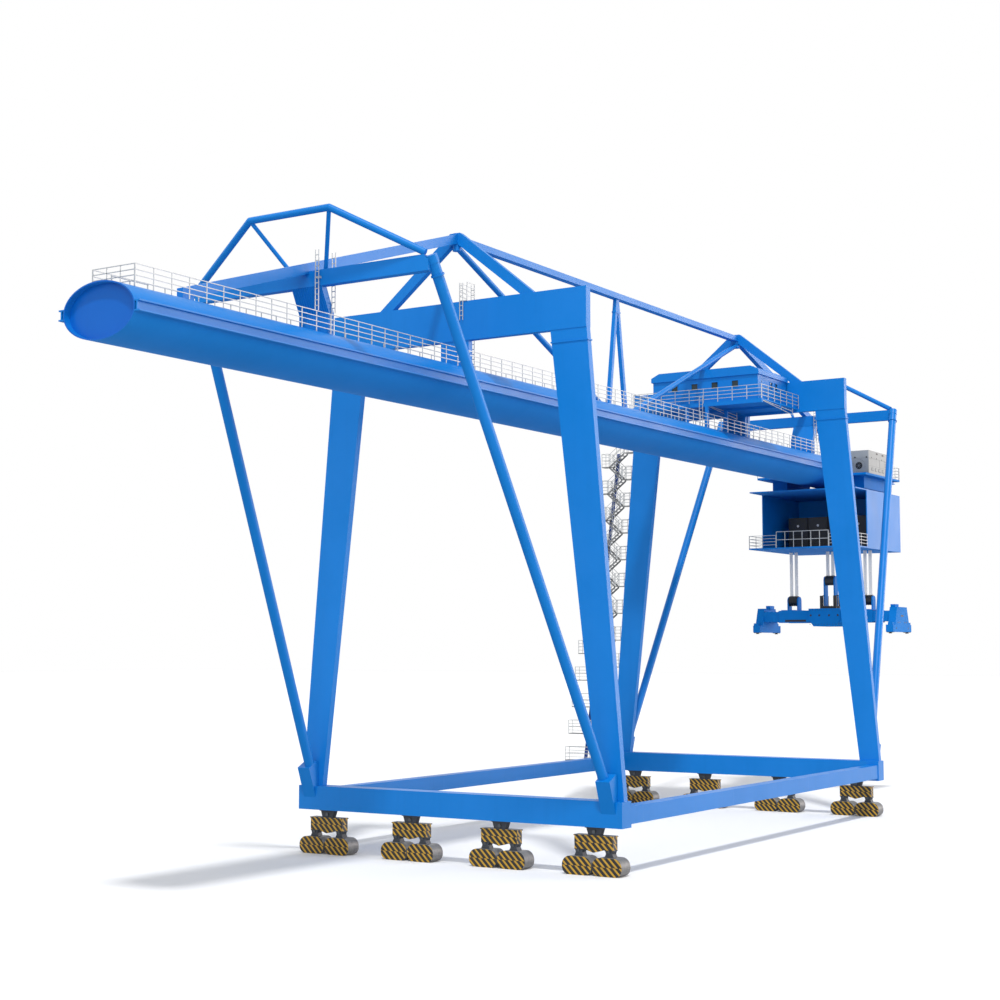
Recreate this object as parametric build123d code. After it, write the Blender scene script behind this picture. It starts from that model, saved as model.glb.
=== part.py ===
"""Wide-span rail-mounted container gantry crane with a slewing trolley, as a 1:10 scale model in millimetres.

X runs along the main girder, Y along the rails, Z is up, and the ground is at zero.
Every part is built from the named sizes below and written to parts/ as one STEP file per node.
"""
import math
import os

from build123d import *

# Fits between neighbours
SEAT_GAP = 0.3
RUN_GAP = 6.0
CUT_OVERRUN = 40.0

# Bogies
RAIL_HALF_GAUGE = 2000.0
BOGIE_OUTER_PLACE = 938.0
BOGIE_INNER_PLACE = 316.0
TRUCK_LENGTH = 186.0
TRUCK_HEIGHT = 102.0
TRUCK_WIDTH = 104.0
TRUCK_TOP_ROUND = 50.0
TRUCK_TOE_ROUND = 44.0
TRUCK_SPACING = 192.0
NECK_LENGTH = 58.0
NECK_WAIST = 40.0
NECK_WIDTH = 46.0
NECK_HEIGHT = 40.0
NECK_FLANGE = 5.0
EQUALISER_LENGTH = 244.0
EQUALISER_WIDTH = 54.0
EQUALISER_DEPTH = 72.0
EQUALISER_SAG = 18.0
EQUALISER_LID = 6.0
EQUALISER_LID_LIP = 4.0
PEDESTAL_HEIGHT = 46.0
PEDESTAL_TOP_LENGTH = 102.0
PEDESTAL_FOOT_LENGTH = 76.0
PEDESTAL_WIDTH = 36.0
PEDESTAL_FLANGE = 7.0
PEDESTAL_FLANGE_LIP = 6.0

# Sills and ties on the running gear
SILL_LENGTH = 2268.0
SILL_WIDTH = 108.0
SILL_HEIGHT = 145.0
TIE_WIDTH = 84.0
TIE_HEIGHT = 98.0
TIE_LIFT = 17.0
TIE_INSET = 6.0

# Portal legs and crossbeams
LEG_HEIGHT = 2672.0
LEG_THICKNESS = 42.4
LEG_FOOT_OUTER = 1129.0
LEG_FOOT_INNER = 975.4
LEG_HEAD_OUTER = 906.8
LEG_HEAD_INNER = 666.2
CROSSBEAM_HEIGHT = 237.0
CROSSBEAM_THICKNESS = 49.2
SPLICE_DROP = 77.0
SPLICE_THICKNESS = 8.0
SPLICE_LIP = 5.0

# Main girder, hung below the crossbeams
GIRDER_OVERHANG = 2918.0
GIRDER_HALF_WIDTH = 227.0
GIRDER_HALF_DEPTH = 137.6
GIRDER_AXIS_DROP = 294.5
GIRDER_PLATE = 7.0
BULKHEAD_RECESS = 34.0
BRACKET_OVERHANG = 29.7
BRACKET_HEIGHT = 52.2
BRACKET_PLATE = 7.0
BRACKET_WEB_INSET = 13.7

# Outer frames
OUTER_FRAME_REACH = 1403.0
OUTER_NODE_PLACE = 787.3
OUTER_BEAM_LIFT = 77.0
OUTER_BEAM_HEIGHT = 85.0
OUTER_BEAM_THICKNESS = 50.0
BRACE_RADIUS = 30.0
BRACE_CAP_RADIUS = 32.0
BRACE_CAP_LENGTH = 44.0
BRACE_COLLAR_RADIUS = 36.0
BRACE_COLLAR_LENGTH = 7.0
BRACE_COLLAR_DROP = 112.0
BRACE_TOP_DROP = 3.0
BRACE_FOOT_INSET = 5.0
BRACE_FOOT_DROP = 43.0
BRACE_FOOT_OFFSET = 1048.0
SHOE_WIDTH = 90.0
SHOE_TOE_DROP = 69.0
SHOE_HEEL_RISE = 151.0
SHOE_LIP_RISE = 112.0
SHOE_LIP_REACH = 66.0
HOOP_RADIUS = 19.0
HOOP_LEAN = 173.0
HOOP_TOP_OFFSET = 266.5
HOOP_RISE = 278.0
HOOP_STRUT_RADIUS = 11.5
HOOP_STRUT_FOOT = 112.0

# Hangers between beams and girder
HANGER_HALF_WIDTH = 100.0
HANGER_THICKNESS = 40.0
OUTER_HANGER_THICKNESS = 45.0
OUTER_HANGER_SHIFT = 65.0
OUTER_HANGER_BEND_DROP = 131.0

# Top structure
APEX_RISE = 422.0
APEX_HALF_WIDTH = 36.0
APEX_CROTCH_DROP = 54.0
APEX_FOOT_OUTER = 556.0
APEX_FOOT_INNER = 462.0
APEX_THICKNESS = 40.0
APEX_PIN_RADIUS = 25.0
APEX_PIN_LENGTH = 106.0
TOP_TIE_WIDTH = 50.0
TOP_TIE_HEIGHT = 40.0
TOP_TIE_DROP = 55.0
OUTER_TIE_WIDTH = 40.0
OUTER_TIE_DEPTH = 58.0
OUTER_TIE_DROP = 7.0
OUTER_TIE_END_INSET = 531.0
OUTER_TIE_END_RISE = 197.5
OUTER_TIE_FOOT_LENGTH = 80.0
INNER_TIE_RADIUS = 19.0
INNER_TIE_DROP = 80.0
INNER_TIE_FOOT_PLACE = 200.0
STRUT_THICKNESS = 28.0
STRUT_FOOT_PLACE = 140.0
STRUT_COLLAR_LENGTH = 12.0
STRUT_COLLAR_LIP = 5.0
STRUT_COLLAR_DROP = 110.0

# Railings, ladders and landings
RAIL_TUBE = 4.0
RAILING_HEIGHT = 108.0
RAILING_ROWS = 4
RAILING_PITCH = 120.0
WALKWAY_RIGHT_PLACE = 120.0
WALKWAY_LEFT_PLACE = 153.0
WALKWAY_END_INSET = 108.0
LADDER_WIDTH = 26.0
LADDER_PITCH = 30.0
LADDER_OVERRUN = 104.0
LADDER_STAGGER = 11.0
LADDER_SHORT_DROP = 115.0
LADDER_FOOT_LIFT = 8.0
LADDER_CLIP_HEIGHT = 12.0
LANDING_PLATE = 6.0
LANDING_WIDTH = 58.0
LANDING_PLACE = 65.0
LANDING_OUTER_LIP = 4.0
LANDING_INNER_LIP = 34.0
OUTER_LADDER_PLACE = 103.0
OUTER_LADDER_SPREAD = 13.0
OUTER_LADDER_FRONT_GAP = 19.0
OUTER_LADDER_BACK_GAP = 36.0

# Stair tower beside the rear leg
STAIR_FLIGHTS = 23
STAIR_START_DROP = 81.0
STAIR_HEAD_DROP = 223.0
STAIR_WIDTH = 70.0
STAIR_RUN = 130.0
STAIR_LANDING_LENGTH = 86.0
STAIR_LANDING_PLATE = 7.0
STAIR_SPREAD_FOOT = 300.0
STAIR_SPREAD_HEAD = 175.0
STAIR_BEYOND_FOOT = 150.0
STAIR_BEYOND_HEAD = 105.0
STAIR_STRINGER_DEPTH = 16.0
STAIR_STRINGER_PLATE = 5.0
STAIR_TREADS = 4
STAIR_TREAD_PLATE = 4.0
STAIR_TREAD_DEPTH = 26.0
STAIR_POST_THICKNESS = 22.0

# Machinery house and its platform over the girder
HOUSE_BACK_GAP = 55.0
HOUSE_DEPTH = 535.0
HOUSE_HALF_WIDTH = 442.0
HOUSE_DECK_RISE = 177.9
HOUSE_WALL_HEIGHT = 210.0
HOUSE_WALL = 8.0
HOUSE_FLOOR = 6.0
ROOF_LIP = 12.0
ROOF_FASCIA = 34.0
ROOF_SLOPE_RUN = 68.0
ROOF_SLOPE_RISE = 33.0
WINDOW_WIDTH = 52.0
WINDOW_HEIGHT = 48.0
WINDOW_SILL_RISE = 126.0
WINDOW_PITCH = 170.0
WINDOW_PANE = 3.0
SIDE_WINDOW_WIDTH = 44.0
SIDE_WINDOW_PITCH = 96.0
DOOR_WIDTH = 80.0
DOOR_HEIGHT = 182.0
DOOR_LEAF = 5.0
DOOR_GAP = 0.6
DOOR_INSET = 70.0
HOUSE_PORCH = 150.0
HOUSE_DECK_BACK_LIP = 21.0
HOUSE_DECK_SIDE = 96.0
HOUSE_DECK_PLATE = 10.0
HOUSE_BEARER_HEIGHT = 20.0
HOUSE_BEARER_WIDTH = 24.0
HOUSE_POST_PLACE = 84.0
HOUSE_POST_THICKNESS = 24.0

# Trolley on the girder's brackets
TROLLEY_OUTREACH = 1926.0
TROLLEY_HALF_LENGTH = 422.0
TROLLEY_SIDE_HALF_LENGTH = 262.0
TROLLEY_SIDE_CLEARANCE = 29.3
TROLLEY_SIDE_WIDTH = 138.0
TROLLEY_SIDE_LIFT = 6.0
TROLLEY_SLAB = 18.0
TROLLEY_SLAB_DROP = 35.4
TROLLEY_SLAB_LIP = 76.0
TROLLEY_CROSS_HEIGHT = 25.0
TROLLEY_CROSS_HALF_LENGTH = 150.0
SLEW_RING_RADIUS = 262.0
SLEW_RING_WALL = 24.0
SLEW_RING_HEIGHT = 15.0
SLEW_GAP = 0.6
WHEEL_RADIUS = 30.0
WHEEL_WIDTH = 16.0
WHEEL_INSET = 11.7
WHEEL_FAR_PLACE = 360.0
WHEEL_NEAR_PLACE = 268.0
AXLE_RADIUS = 8.0
WHEEL_CHEEK = 10.0
WHEEL_CHEEK_LENGTH = 170.0
CABINET_FRONT = -326.0
CABINET_BACK = 206.0
CABINET_EDGE = 8.0
CABINET_WIDTH = 180.0
CABINET_HEIGHT = 200.0
CABINET_ROUND = 4.0

# Slewing house under the trolley
SLEW_HOUSE_HEIGHT = 504.9
SLEW_DECK_FRONT = -656.0
SLEW_DECK_BACK = 459.0
SLEW_HALF_WIDTH = 484.0
SLEW_WALL_FRONT = -366.0
SLEW_WALL = 9.0
SLEW_DECK_PLATE = 12.0
SLEW_ROOF_PLATE = 10.0
SLEW_ROOF_FRONT = -630.0
WINCH_FRONT = -40.0
WINCH_BACK = 150.0
WINCH_LENGTH = 180.0
WINCH_HEIGHT = 296.0
WINCH_PITCH = 188.0
GUARD_LEFT_REACH = 228.0
GUARD_RIGHT_REACH = 244.0
GUARD_HEIGHT = 138.0
GUARD_BAR = 5.0
GUARD_PITCH = 78.0
ROPE_SLOT_WIDTH = 30.0
ROPE_SLOT_ROOM = 6.0

# Ropes and spreader
ROPE_RADIUS = 4.8
ROPE_INNER_PLACE = 13.0
ROPE_PITCH = 10.5
ROPES_PER_BAND = 3
ROPE_GROUP_PLACE = 345.0
SPREADER_DROP = 515.9
SHEAVE_RADIUS = 43.0
SHEAVE_WIDTH = 80.0
SHEAVE_HUB_RADIUS = 12.0
SHEAVE_RISE = 72.0
SHEAVE_HIGH_RISE = 249.0
SHEAVE_CHEEK = 12.0
SHEAVE_CHEEK_WIDTH = 76.0
MAIN_HALF_LENGTH = 145.0
MAIN_HALF_WIDTH = 166.0
MAIN_HEIGHT = 156.0
MAIN_KEEL_HALF_LENGTH = 100.0
MAIN_KEEL_HEIGHT = 60.0
SLEEVE_HALF_LENGTH = 435.0
SLEEVE_PLACE = 112.0
SLEEVE_WIDTH = 78.0
SLEEVE_DROP = 16.0
SLEEVE_HEIGHT = 107.0
SLEEVE_PLATE = 6.0
SADDLE_HALF_LENGTH = 64.0
ARM_GAP = 3.0
ARM_LAP = 120.0
ARM_PAD_LENGTH = 24.0
ARM_STROKE = 76.0
GABLE_PLACE = 613.0
GABLE_THICKNESS = 66.0
GABLE_RISE = 6.0
GABLE_HALF_FOOT = 229.0
GABLE_HALF_TOP = 122.0
GABLE_SLOPE_HEIGHT = 152.0
GABLE_FOOT_DEPTH = 62.0
GABLE_KNEE_HALF = 176.0
TWISTLOCK_HALF_SPAN = 208.0
TWISTLOCK_RADIUS = 9.0
TWISTLOCK_SHANK = 30.0
TWISTLOCK_DROP = 13.0
TWISTLOCK_HEAD_LENGTH = 26.0
TWISTLOCK_HEAD_WIDTH = 15.0
TWISTLOCK_GAP = 0.6
TURNTABLE_RADIUS = 96.0
TURNTABLE_HEIGHT = 22.0
MOTOR_RADIUS = 16.0
MOTOR_HEIGHT = 92.0
MOTOR_PLACE = 62.0

# Levels from the ground up
EQUALISER_UNDERSIDE = TRUCK_HEIGHT + NECK_HEIGHT
EQUALISER_TOP = EQUALISER_UNDERSIDE + EQUALISER_DEPTH
PEDESTAL_FOOT_LEVEL = EQUALISER_TOP + EQUALISER_LID
SILL_UNDERSIDE = PEDESTAL_FOOT_LEVEL + PEDESTAL_HEIGHT
SILL_TOP = SILL_UNDERSIDE + SILL_HEIGHT
TIE_UNDERSIDE = SILL_UNDERSIDE + TIE_LIFT
CROSSBEAM_UNDERSIDE = SILL_TOP + LEG_HEIGHT
CROSSBEAM_TOP = CROSSBEAM_UNDERSIDE + CROSSBEAM_HEIGHT
OUTER_BEAM_UNDERSIDE = CROSSBEAM_UNDERSIDE + OUTER_BEAM_LIFT
OUTER_BEAM_TOP = OUTER_BEAM_UNDERSIDE + OUTER_BEAM_HEIGHT
HOOP_TOP_LEVEL = OUTER_BEAM_TOP + HOOP_RISE
APEX_TOP = CROSSBEAM_TOP + APEX_RISE
OUTER_TIE_TOP = APEX_TOP - OUTER_TIE_DROP
TOP_TIE_UNDERSIDE = APEX_TOP - TOP_TIE_DROP
GIRDER_AXIS = CROSSBEAM_UNDERSIDE - GIRDER_AXIS_DROP
GIRDER_CROWN = GIRDER_AXIS + GIRDER_HALF_DEPTH
GIRDER_UNDERSIDE = GIRDER_AXIS - GIRDER_HALF_DEPTH
OUTER_TIE_END = GIRDER_AXIS + OUTER_TIE_END_RISE
BRACKET_TOP = GIRDER_AXIS + BRACKET_HEIGHT / 2
BRACKET_UNDERSIDE = GIRDER_AXIS - BRACKET_HEIGHT / 2
STAIR_START = SILL_TOP - STAIR_START_DROP
STAIR_HEAD = CROSSBEAM_UNDERSIDE - STAIR_HEAD_DROP
HOUSE_DECK_TOP = GIRDER_CROWN + HOUSE_DECK_RISE
HOUSE_DECK_UNDERSIDE = HOUSE_DECK_TOP - HOUSE_DECK_PLATE
HOUSE_EAVE = HOUSE_DECK_TOP + HOUSE_WALL_HEIGHT
WINDOW_SILL = HOUSE_DECK_TOP + WINDOW_SILL_RISE

# Levels hung from the girder
TROLLEY_CROSS_TOP = GIRDER_UNDERSIDE - RUN_GAP
TROLLEY_CROSS_UNDERSIDE = TROLLEY_CROSS_TOP - TROLLEY_CROSS_HEIGHT
TROLLEY_SIDE_UNDERSIDE = TROLLEY_CROSS_UNDERSIDE + TROLLEY_SIDE_LIFT
TROLLEY_SIDE_TOP = BRACKET_UNDERSIDE - TROLLEY_SLAB_DROP
SLAB_TOP = TROLLEY_SIDE_TOP + TROLLEY_SLAB
SLEW_ROOF_TOP = TROLLEY_CROSS_UNDERSIDE - SLEW_RING_HEIGHT
SLEW_ROOF_UNDERSIDE = SLEW_ROOF_TOP - SLEW_ROOF_PLATE
SLEW_DECK_UNDERSIDE = SLEW_ROOF_TOP - SLEW_HOUSE_HEIGHT
DECK_TOP = SLEW_DECK_UNDERSIDE + SLEW_DECK_PLATE
MAIN_TOP = DECK_TOP - SPREADER_DROP
MAIN_UNDERSIDE = MAIN_TOP - MAIN_HEIGHT
SLEEVE_TOP = MAIN_TOP - SLEEVE_DROP
SLEEVE_UNDERSIDE = SLEEVE_TOP - SLEEVE_HEIGHT
GABLE_TOP = MAIN_TOP + GABLE_RISE
GABLE_KNEE = GABLE_TOP - GABLE_SLOPE_HEIGHT
GABLE_FOOT = GABLE_KNEE - GABLE_FOOT_DEPTH

# Places along and across the girder
GIRDER_HALF_LENGTH = RAIL_HALF_GAUGE + GIRDER_OVERHANG
OUTER_FRAME_PLACE = RAIL_HALF_GAUGE + OUTER_FRAME_REACH
OUTER_TIE_END_PLACE = GIRDER_HALF_LENGTH - OUTER_TIE_END_INSET
BRACKET_REACH = GIRDER_HALF_WIDTH + BRACKET_OVERHANG
HOUSE_BACK = RAIL_HALF_GAUGE - HOUSE_BACK_GAP
HOUSE_FRONT = HOUSE_BACK - HOUSE_DEPTH
HOUSE_DECK_FRONT = HOUSE_FRONT - HOUSE_PORCH
HOUSE_DECK_BACK = HOUSE_BACK + HOUSE_DECK_BACK_LIP
HOUSE_DECK_HALF_WIDTH = HOUSE_HALF_WIDTH + HOUSE_DECK_SIDE
TROLLEY_PLACE = RAIL_HALF_GAUGE + TROLLEY_OUTREACH
TROLLEY_SIDE_INNER = BRACKET_REACH + TROLLEY_SIDE_CLEARANCE
TROLLEY_SIDE_OUTER = TROLLEY_SIDE_INNER + TROLLEY_SIDE_WIDTH
TROLLEY_SLAB_REACH = TROLLEY_SIDE_OUTER + TROLLEY_SLAB_LIP
WHEEL_PLACE = BRACKET_REACH - WHEEL_INSET
CABINET_OUTER = TROLLEY_SLAB_REACH - CABINET_EDGE
CABINET_INNER = CABINET_OUTER - CABINET_WIDTH


def block(x0, x1, y0, y1, z0, z1):
    """Box between two corners."""
    return Pos((x0 + x1) / 2, (y0 + y1) / 2, (z0 + z1) / 2) * Box(abs(x1 - x0), abs(y1 - y0), abs(z1 - z0))


def sheet(points):
    """Flat face through a closed list of points."""
    return Face(Wire.make_polygon([Vector(*p) for p in points], close=True))


def slab_along_y(points, y0, y1):
    """Outline in X and Z, pushed from y0 to y1."""
    return extrude(sheet([(x, y0, z) for x, z in points]), amount=y1 - y0, dir=(0, 1, 0))


def slab_along_x(points, x0, x1):
    """Outline in Y and Z, pushed from x0 to x1."""
    return extrude(sheet([(x0, y, z) for y, z in points]), amount=x1 - x0, dir=(1, 0, 0))


def pipe(start, end, radius):
    """Round bar from one point to another."""
    axis = Vector(*end) - Vector(*start)
    return extrude(Plane(origin=start, z_dir=axis) * Circle(radius), amount=axis.length)


def beam(start, end, width, depth, side=(0, 1, 0)):
    """Rectangular bar from one point to another, its width along side."""
    axis = Vector(*end) - Vector(*start)
    return extrude(Plane(origin=start, x_dir=side, z_dir=axis) * Rectangle(width, depth), amount=axis.length)


def along(start, end, distance):
    """Point at a distance from start towards end."""
    axis = (Vector(*end) - Vector(*start)).normalized()
    return tuple(Vector(*start) + axis * distance)


def swapped_ends(shape):
    return mirror(shape, Plane.YZ)


def swapped_sides(shape):
    return mirror(shape, Plane.XZ)


def four(shape):
    """The shape at all four corners."""
    return [shape, swapped_ends(shape), swapped_sides(shape), swapped_sides(swapped_ends(shape))]


def group(shapes):
    """Separate solids in one node."""
    solids = []
    for shape in shapes:
        solids += list(shape.solids())
    return Compound(children=solids) if len(solids) > 1 else solids[0]


def girder_crown(offset):
    """Height of the girder's skin at a sideways offset from its axis."""
    share = math.sqrt(1 - (offset / GIRDER_HALF_WIDTH) ** 2)
    return GIRDER_AXIS + GIRDER_HALF_DEPTH * share


def girder_bar(grow):
    """The girder's outer form, grown by a margin, longer than the girder."""
    reach = GIRDER_HALF_LENGTH + CUT_OVERRUN
    section = Plane(origin=(-reach, 0, GIRDER_AXIS), x_dir=(0, 1, 0), z_dir=(1, 0, 0)) * Ellipse(
        GIRDER_HALF_WIDTH + grow, GIRDER_HALF_DEPTH + grow)
    return extrude(section, amount=2 * reach)


def stations(start, end, pitch):
    """Evenly spaced places from start to end, no wider apart than about the pitch."""
    bays = max(1, round(abs(end - start) / pitch))
    return [start + (end - start) * i / bays for i in range(bays + 1)]


def railing(places, foot, height=RAILING_HEIGHT, rows=RAILING_ROWS, bar=RAIL_TUBE):
    """Railing in the XZ plane: a post at each place, evenly spaced rails, open below the lowest one."""
    levels = [foot + height * (row + 1) / rows for row in range(rows)]
    half = bar / 2
    outline = [(places[0] - half, foot), (places[0] - half, levels[-1]),
               (places[-1] + half, levels[-1]), (places[-1] + half, foot)]
    for left, right in reversed(list(zip(places, places[1:]))):
        outline += [(right - half, foot), (right - half, levels[0] - bar),
                    (left + half, levels[0] - bar), (left + half, foot)]
    holes = []
    for left, right in zip(places, places[1:]):
        for low, high in zip(levels, levels[1:]):
            holes.append([(left + half, low), (right - half, low), (right - half, high - bar),
                          (left + half, high - bar)])
    face = Face(Wire.make_polygon([Vector(x, -half, z) for x, z in outline], close=True),
                [Wire.make_polygon([Vector(x, -half, z) for x, z in hole], close=True) for hole in holes])
    return extrude(face, amount=bar, dir=(0, 1, 0))


def side_railing(places, y, foot, **sizes):
    """Railing that runs along X at a sideways place."""
    return Pos(0, y, 0) * railing(places, foot, **sizes)


def end_railing(places, x, foot, **sizes):
    """Railing that runs along Y at a lengthways place."""
    return Pos(x, 0, 0) * Rot(0, 0, 90) * railing(places, foot, **sizes)


def ladder(foot, top):
    """Ladder standing in the YZ plane, centred on Y: two stiles and flat rungs."""
    half, bar = LADDER_WIDTH / 2, RAIL_TUBE
    rungs = int((top - foot) / LADDER_PITCH)
    face_holes = []
    levels = [foot + LADDER_PITCH * (i + 1) for i in range(rungs)]
    for low, high in zip(levels, levels[1:]):
        face_holes.append([(-half + bar, low), (half - bar, low), (half - bar, high - bar), (-half + bar, high - bar)])
    outline = [(-half, foot), (-half, top), (-half + bar, top), (-half + bar, levels[-1]),
               (half - bar, levels[-1]), (half - bar, top), (half, top), (half, foot),
               (half - bar, foot), (half - bar, levels[0] - bar), (-half + bar, levels[0] - bar), (-half + bar, foot)]
    face = Face(Wire.make_polygon([Vector(-bar / 2, y, z) for y, z in outline], close=True),
                [Wire.make_polygon([Vector(-bar / 2, y, z) for y, z in hole], close=True) for hole in face_holes])
    return extrude(face, amount=bar, dir=(1, 0, 0))


# Running gear

def bogie_places():
    for x in (-RAIL_HALF_GAUGE, RAIL_HALF_GAUGE):
        for y in (-BOGIE_OUTER_PLACE, -BOGIE_INNER_PLACE, BOGIE_INNER_PLACE, BOGIE_OUTER_PLACE):
            yield x, y


def truck_housing():
    """Closed wheel truck with rounded shoulders and toes."""
    half = TRUCK_LENGTH / 2
    profile = sheet([(0, -half, 0), (0, half, 0), (0, half, TRUCK_HEIGHT), (0, -half, TRUCK_HEIGHT)])
    body = extrude(profile, amount=TRUCK_WIDTH / 2, dir=(1, 0, 0), both=True)
    largest = (TRUCK_HEIGHT - SEAT_GAP) / 2
    cross = body.edges().filter_by(Axis.X)
    body = fillet(cross.group_by(Axis.Z)[-1], min(TRUCK_TOP_ROUND, largest))
    return fillet(body.edges().filter_by(Axis.X).group_by(Axis.Z)[0], min(TRUCK_TOE_ROUND, largest))


def truck_neck():
    """Waisted pivot bracket with a bolting flange, between a truck and its balance beam."""
    top, waist = NECK_LENGTH / 2, NECK_WAIST / 2
    middle = (TRUCK_HEIGHT + EQUALISER_UNDERSIDE) / 2
    shoulder = (top + waist) / 2
    flange = EQUALISER_UNDERSIDE - NECK_FLANGE
    right = [(top, TRUCK_HEIGHT), (waist, middle), (shoulder, flange), (top, flange), (top, EQUALISER_UNDERSIDE)]
    left = [(-y, z) for y, z in reversed(right)]
    return slab_along_x(right + left, -NECK_WIDTH / 2, NECK_WIDTH / 2)


def equaliser():
    """Balance beam with a shallow V underside between flat end seats, under a lid that stands proud."""
    half = EQUALISER_LENGTH / 2
    seat = TRUCK_SPACING / 2 - NECK_LENGTH / 2
    low, middle = EQUALISER_UNDERSIDE, EQUALISER_UNDERSIDE - EQUALISER_SAG
    web = slab_along_x([(-half, low), (-seat, low), (0, middle), (seat, low), (half, low), (half, EQUALISER_TOP),
                        (-half, EQUALISER_TOP)], -EQUALISER_WIDTH / 2, EQUALISER_WIDTH / 2)
    lip_half = half + EQUALISER_LID_LIP
    wide = EQUALISER_WIDTH / 2 + EQUALISER_LID_LIP
    return web + block(-wide, wide, -lip_half, lip_half, EQUALISER_TOP, EQUALISER_TOP + EQUALISER_LID)


def pedestal():
    """Inverted tapered pedestal with a bolting flange under the sill."""
    foot = PEDESTAL_FOOT_LEVEL
    low, high = PEDESTAL_FOOT_LENGTH / 2, PEDESTAL_TOP_LENGTH / 2
    flange = SILL_UNDERSIDE - PEDESTAL_FLANGE
    body = slab_along_x([(-low, foot), (low, foot), (high, flange), (-high, flange)],
                        -PEDESTAL_WIDTH / 2, PEDESTAL_WIDTH / 2)
    lip = PEDESTAL_FLANGE_LIP
    plate = block(-PEDESTAL_WIDTH / 2 - lip, PEDESTAL_WIDTH / 2 + lip, -high - lip, high + lip, flange, SILL_UNDERSIDE)
    return body + plate


def make_running_gear():
    trucks, necks, beams, pedestals = [], [], [], []
    for x, y in bogie_places():
        for side in (-1, 1):
            at = Pos(x, y + side * TRUCK_SPACING / 2, 0)
            trucks.append(at * truck_housing())
            necks.append(at * truck_neck())
        beams.append(Pos(x, y, 0) * equaliser())
        pedestals.append(Pos(x, y, 0) * pedestal())
    return {"truck_housings": group(trucks), "truck_necks": group(necks), "equaliser_beams": group(beams),
            "bogie_pedestals": group(pedestals)}


# Base and legs

def make_base():
    half = SILL_WIDTH / 2
    sill = block(-RAIL_HALF_GAUGE - half, -RAIL_HALF_GAUGE + half, -SILL_LENGTH / 2, SILL_LENGTH / 2,
                 SILL_UNDERSIDE, SILL_TOP)
    outer = SILL_LENGTH / 2 - TIE_INSET
    reach = RAIL_HALF_GAUGE - half
    tie = block(-reach, reach, outer - TIE_WIDTH, outer, TIE_UNDERSIDE, TIE_UNDERSIDE + TIE_HEIGHT)
    return {"sill_beams": group([sill, swapped_ends(sill)]), "tie_beams": group([tie, swapped_sides(tie)])}


def leg_edge(height, foot, head):
    """Sideways place of a leg's edge at a height."""
    share = (height - SILL_TOP) / (CROSSBEAM_UNDERSIDE - SILL_TOP)
    return foot + (head - foot) * share


def make_legs():
    half = LEG_THICKNESS / 2
    leg = slab_along_x([(LEG_FOOT_INNER, SILL_TOP), (LEG_FOOT_OUTER, SILL_TOP), (LEG_HEAD_OUTER, CROSSBEAM_UNDERSIDE),
                        (LEG_HEAD_INNER, CROSSBEAM_UNDERSIDE)], RAIL_HALF_GAUGE - half, RAIL_HALF_GAUGE + half)
    low = CROSSBEAM_UNDERSIDE - SPLICE_DROP
    inner, outer = leg_edge(low, LEG_FOOT_INNER, LEG_HEAD_INNER), leg_edge(low, LEG_FOOT_OUTER, LEG_HEAD_OUTER)
    splice = block(RAIL_HALF_GAUGE - half - SPLICE_LIP, RAIL_HALF_GAUGE + half + SPLICE_LIP,
                   inner - SPLICE_LIP, outer + SPLICE_LIP, low, low + SPLICE_THICKNESS)
    return {"portal_legs": group(four(leg + splice))}


def make_crossbeams():
    half = CROSSBEAM_THICKNESS / 2
    cross = block(RAIL_HALF_GAUGE - half, RAIL_HALF_GAUGE + half, -LEG_HEAD_OUTER, LEG_HEAD_OUTER,
                  CROSSBEAM_UNDERSIDE, CROSSBEAM_TOP)
    return {"crossbeams": group([cross, swapped_ends(cross)])}


# Girder

def make_girder():
    reach = GIRDER_HALF_LENGTH
    base = Plane(origin=(-reach, 0, GIRDER_AXIS), x_dir=(0, 1, 0), z_dir=(1, 0, 0))
    wide, deep = GIRDER_HALF_WIDTH, GIRDER_HALF_DEPTH
    ring = Ellipse(wide, deep) - Ellipse(wide - GIRDER_PLATE, deep - GIRDER_PLATE)
    tube = extrude(base * ring, amount=2 * reach)
    bulkhead = base * Pos(0, 0, BULKHEAD_RECESS) * Ellipse(wide - GIRDER_PLATE, deep - GIRDER_PLATE)
    bulkhead = extrude(bulkhead, amount=GIRDER_PLATE, dir=(1, 0, 0))
    tube = tube + bulkhead + swapped_ends(bulkhead)
    top, low = BRACKET_TOP, BRACKET_UNDERSIDE
    web_out = BRACKET_REACH - BRACKET_WEB_INSET
    web_in = web_out - BRACKET_PLATE
    root = GIRDER_HALF_WIDTH - BRACKET_HEIGHT / 2
    bracket = slab_along_x([(root, top), (BRACKET_REACH, top), (BRACKET_REACH, top - BRACKET_PLATE),
                            (web_out, top - BRACKET_PLATE), (web_out, low + BRACKET_PLATE),
                            (BRACKET_REACH, low + BRACKET_PLATE), (BRACKET_REACH, low), (root, low),
                            (root, low + BRACKET_PLATE), (web_in, low + BRACKET_PLATE), (web_in, top - BRACKET_PLATE),
                            (root, top - BRACKET_PLATE)], -reach, reach)
    bracket = bracket - girder_bar(SEAT_GAP)
    return {"girder_tube": tube, "runway_brackets": group([bracket, swapped_sides(bracket)])}


# Outer frames

def brace_line():
    """Foot and head of the brace's axis at the far left corner."""
    foot = (RAIL_HALF_GAUGE - BRACE_FOOT_INSET, BRACE_FOOT_OFFSET, SILL_TOP - BRACE_FOOT_DROP)
    head = (OUTER_FRAME_PLACE, OUTER_NODE_PLACE, OUTER_BEAM_TOP - BRACE_TOP_DROP)
    return foot, head


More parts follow.
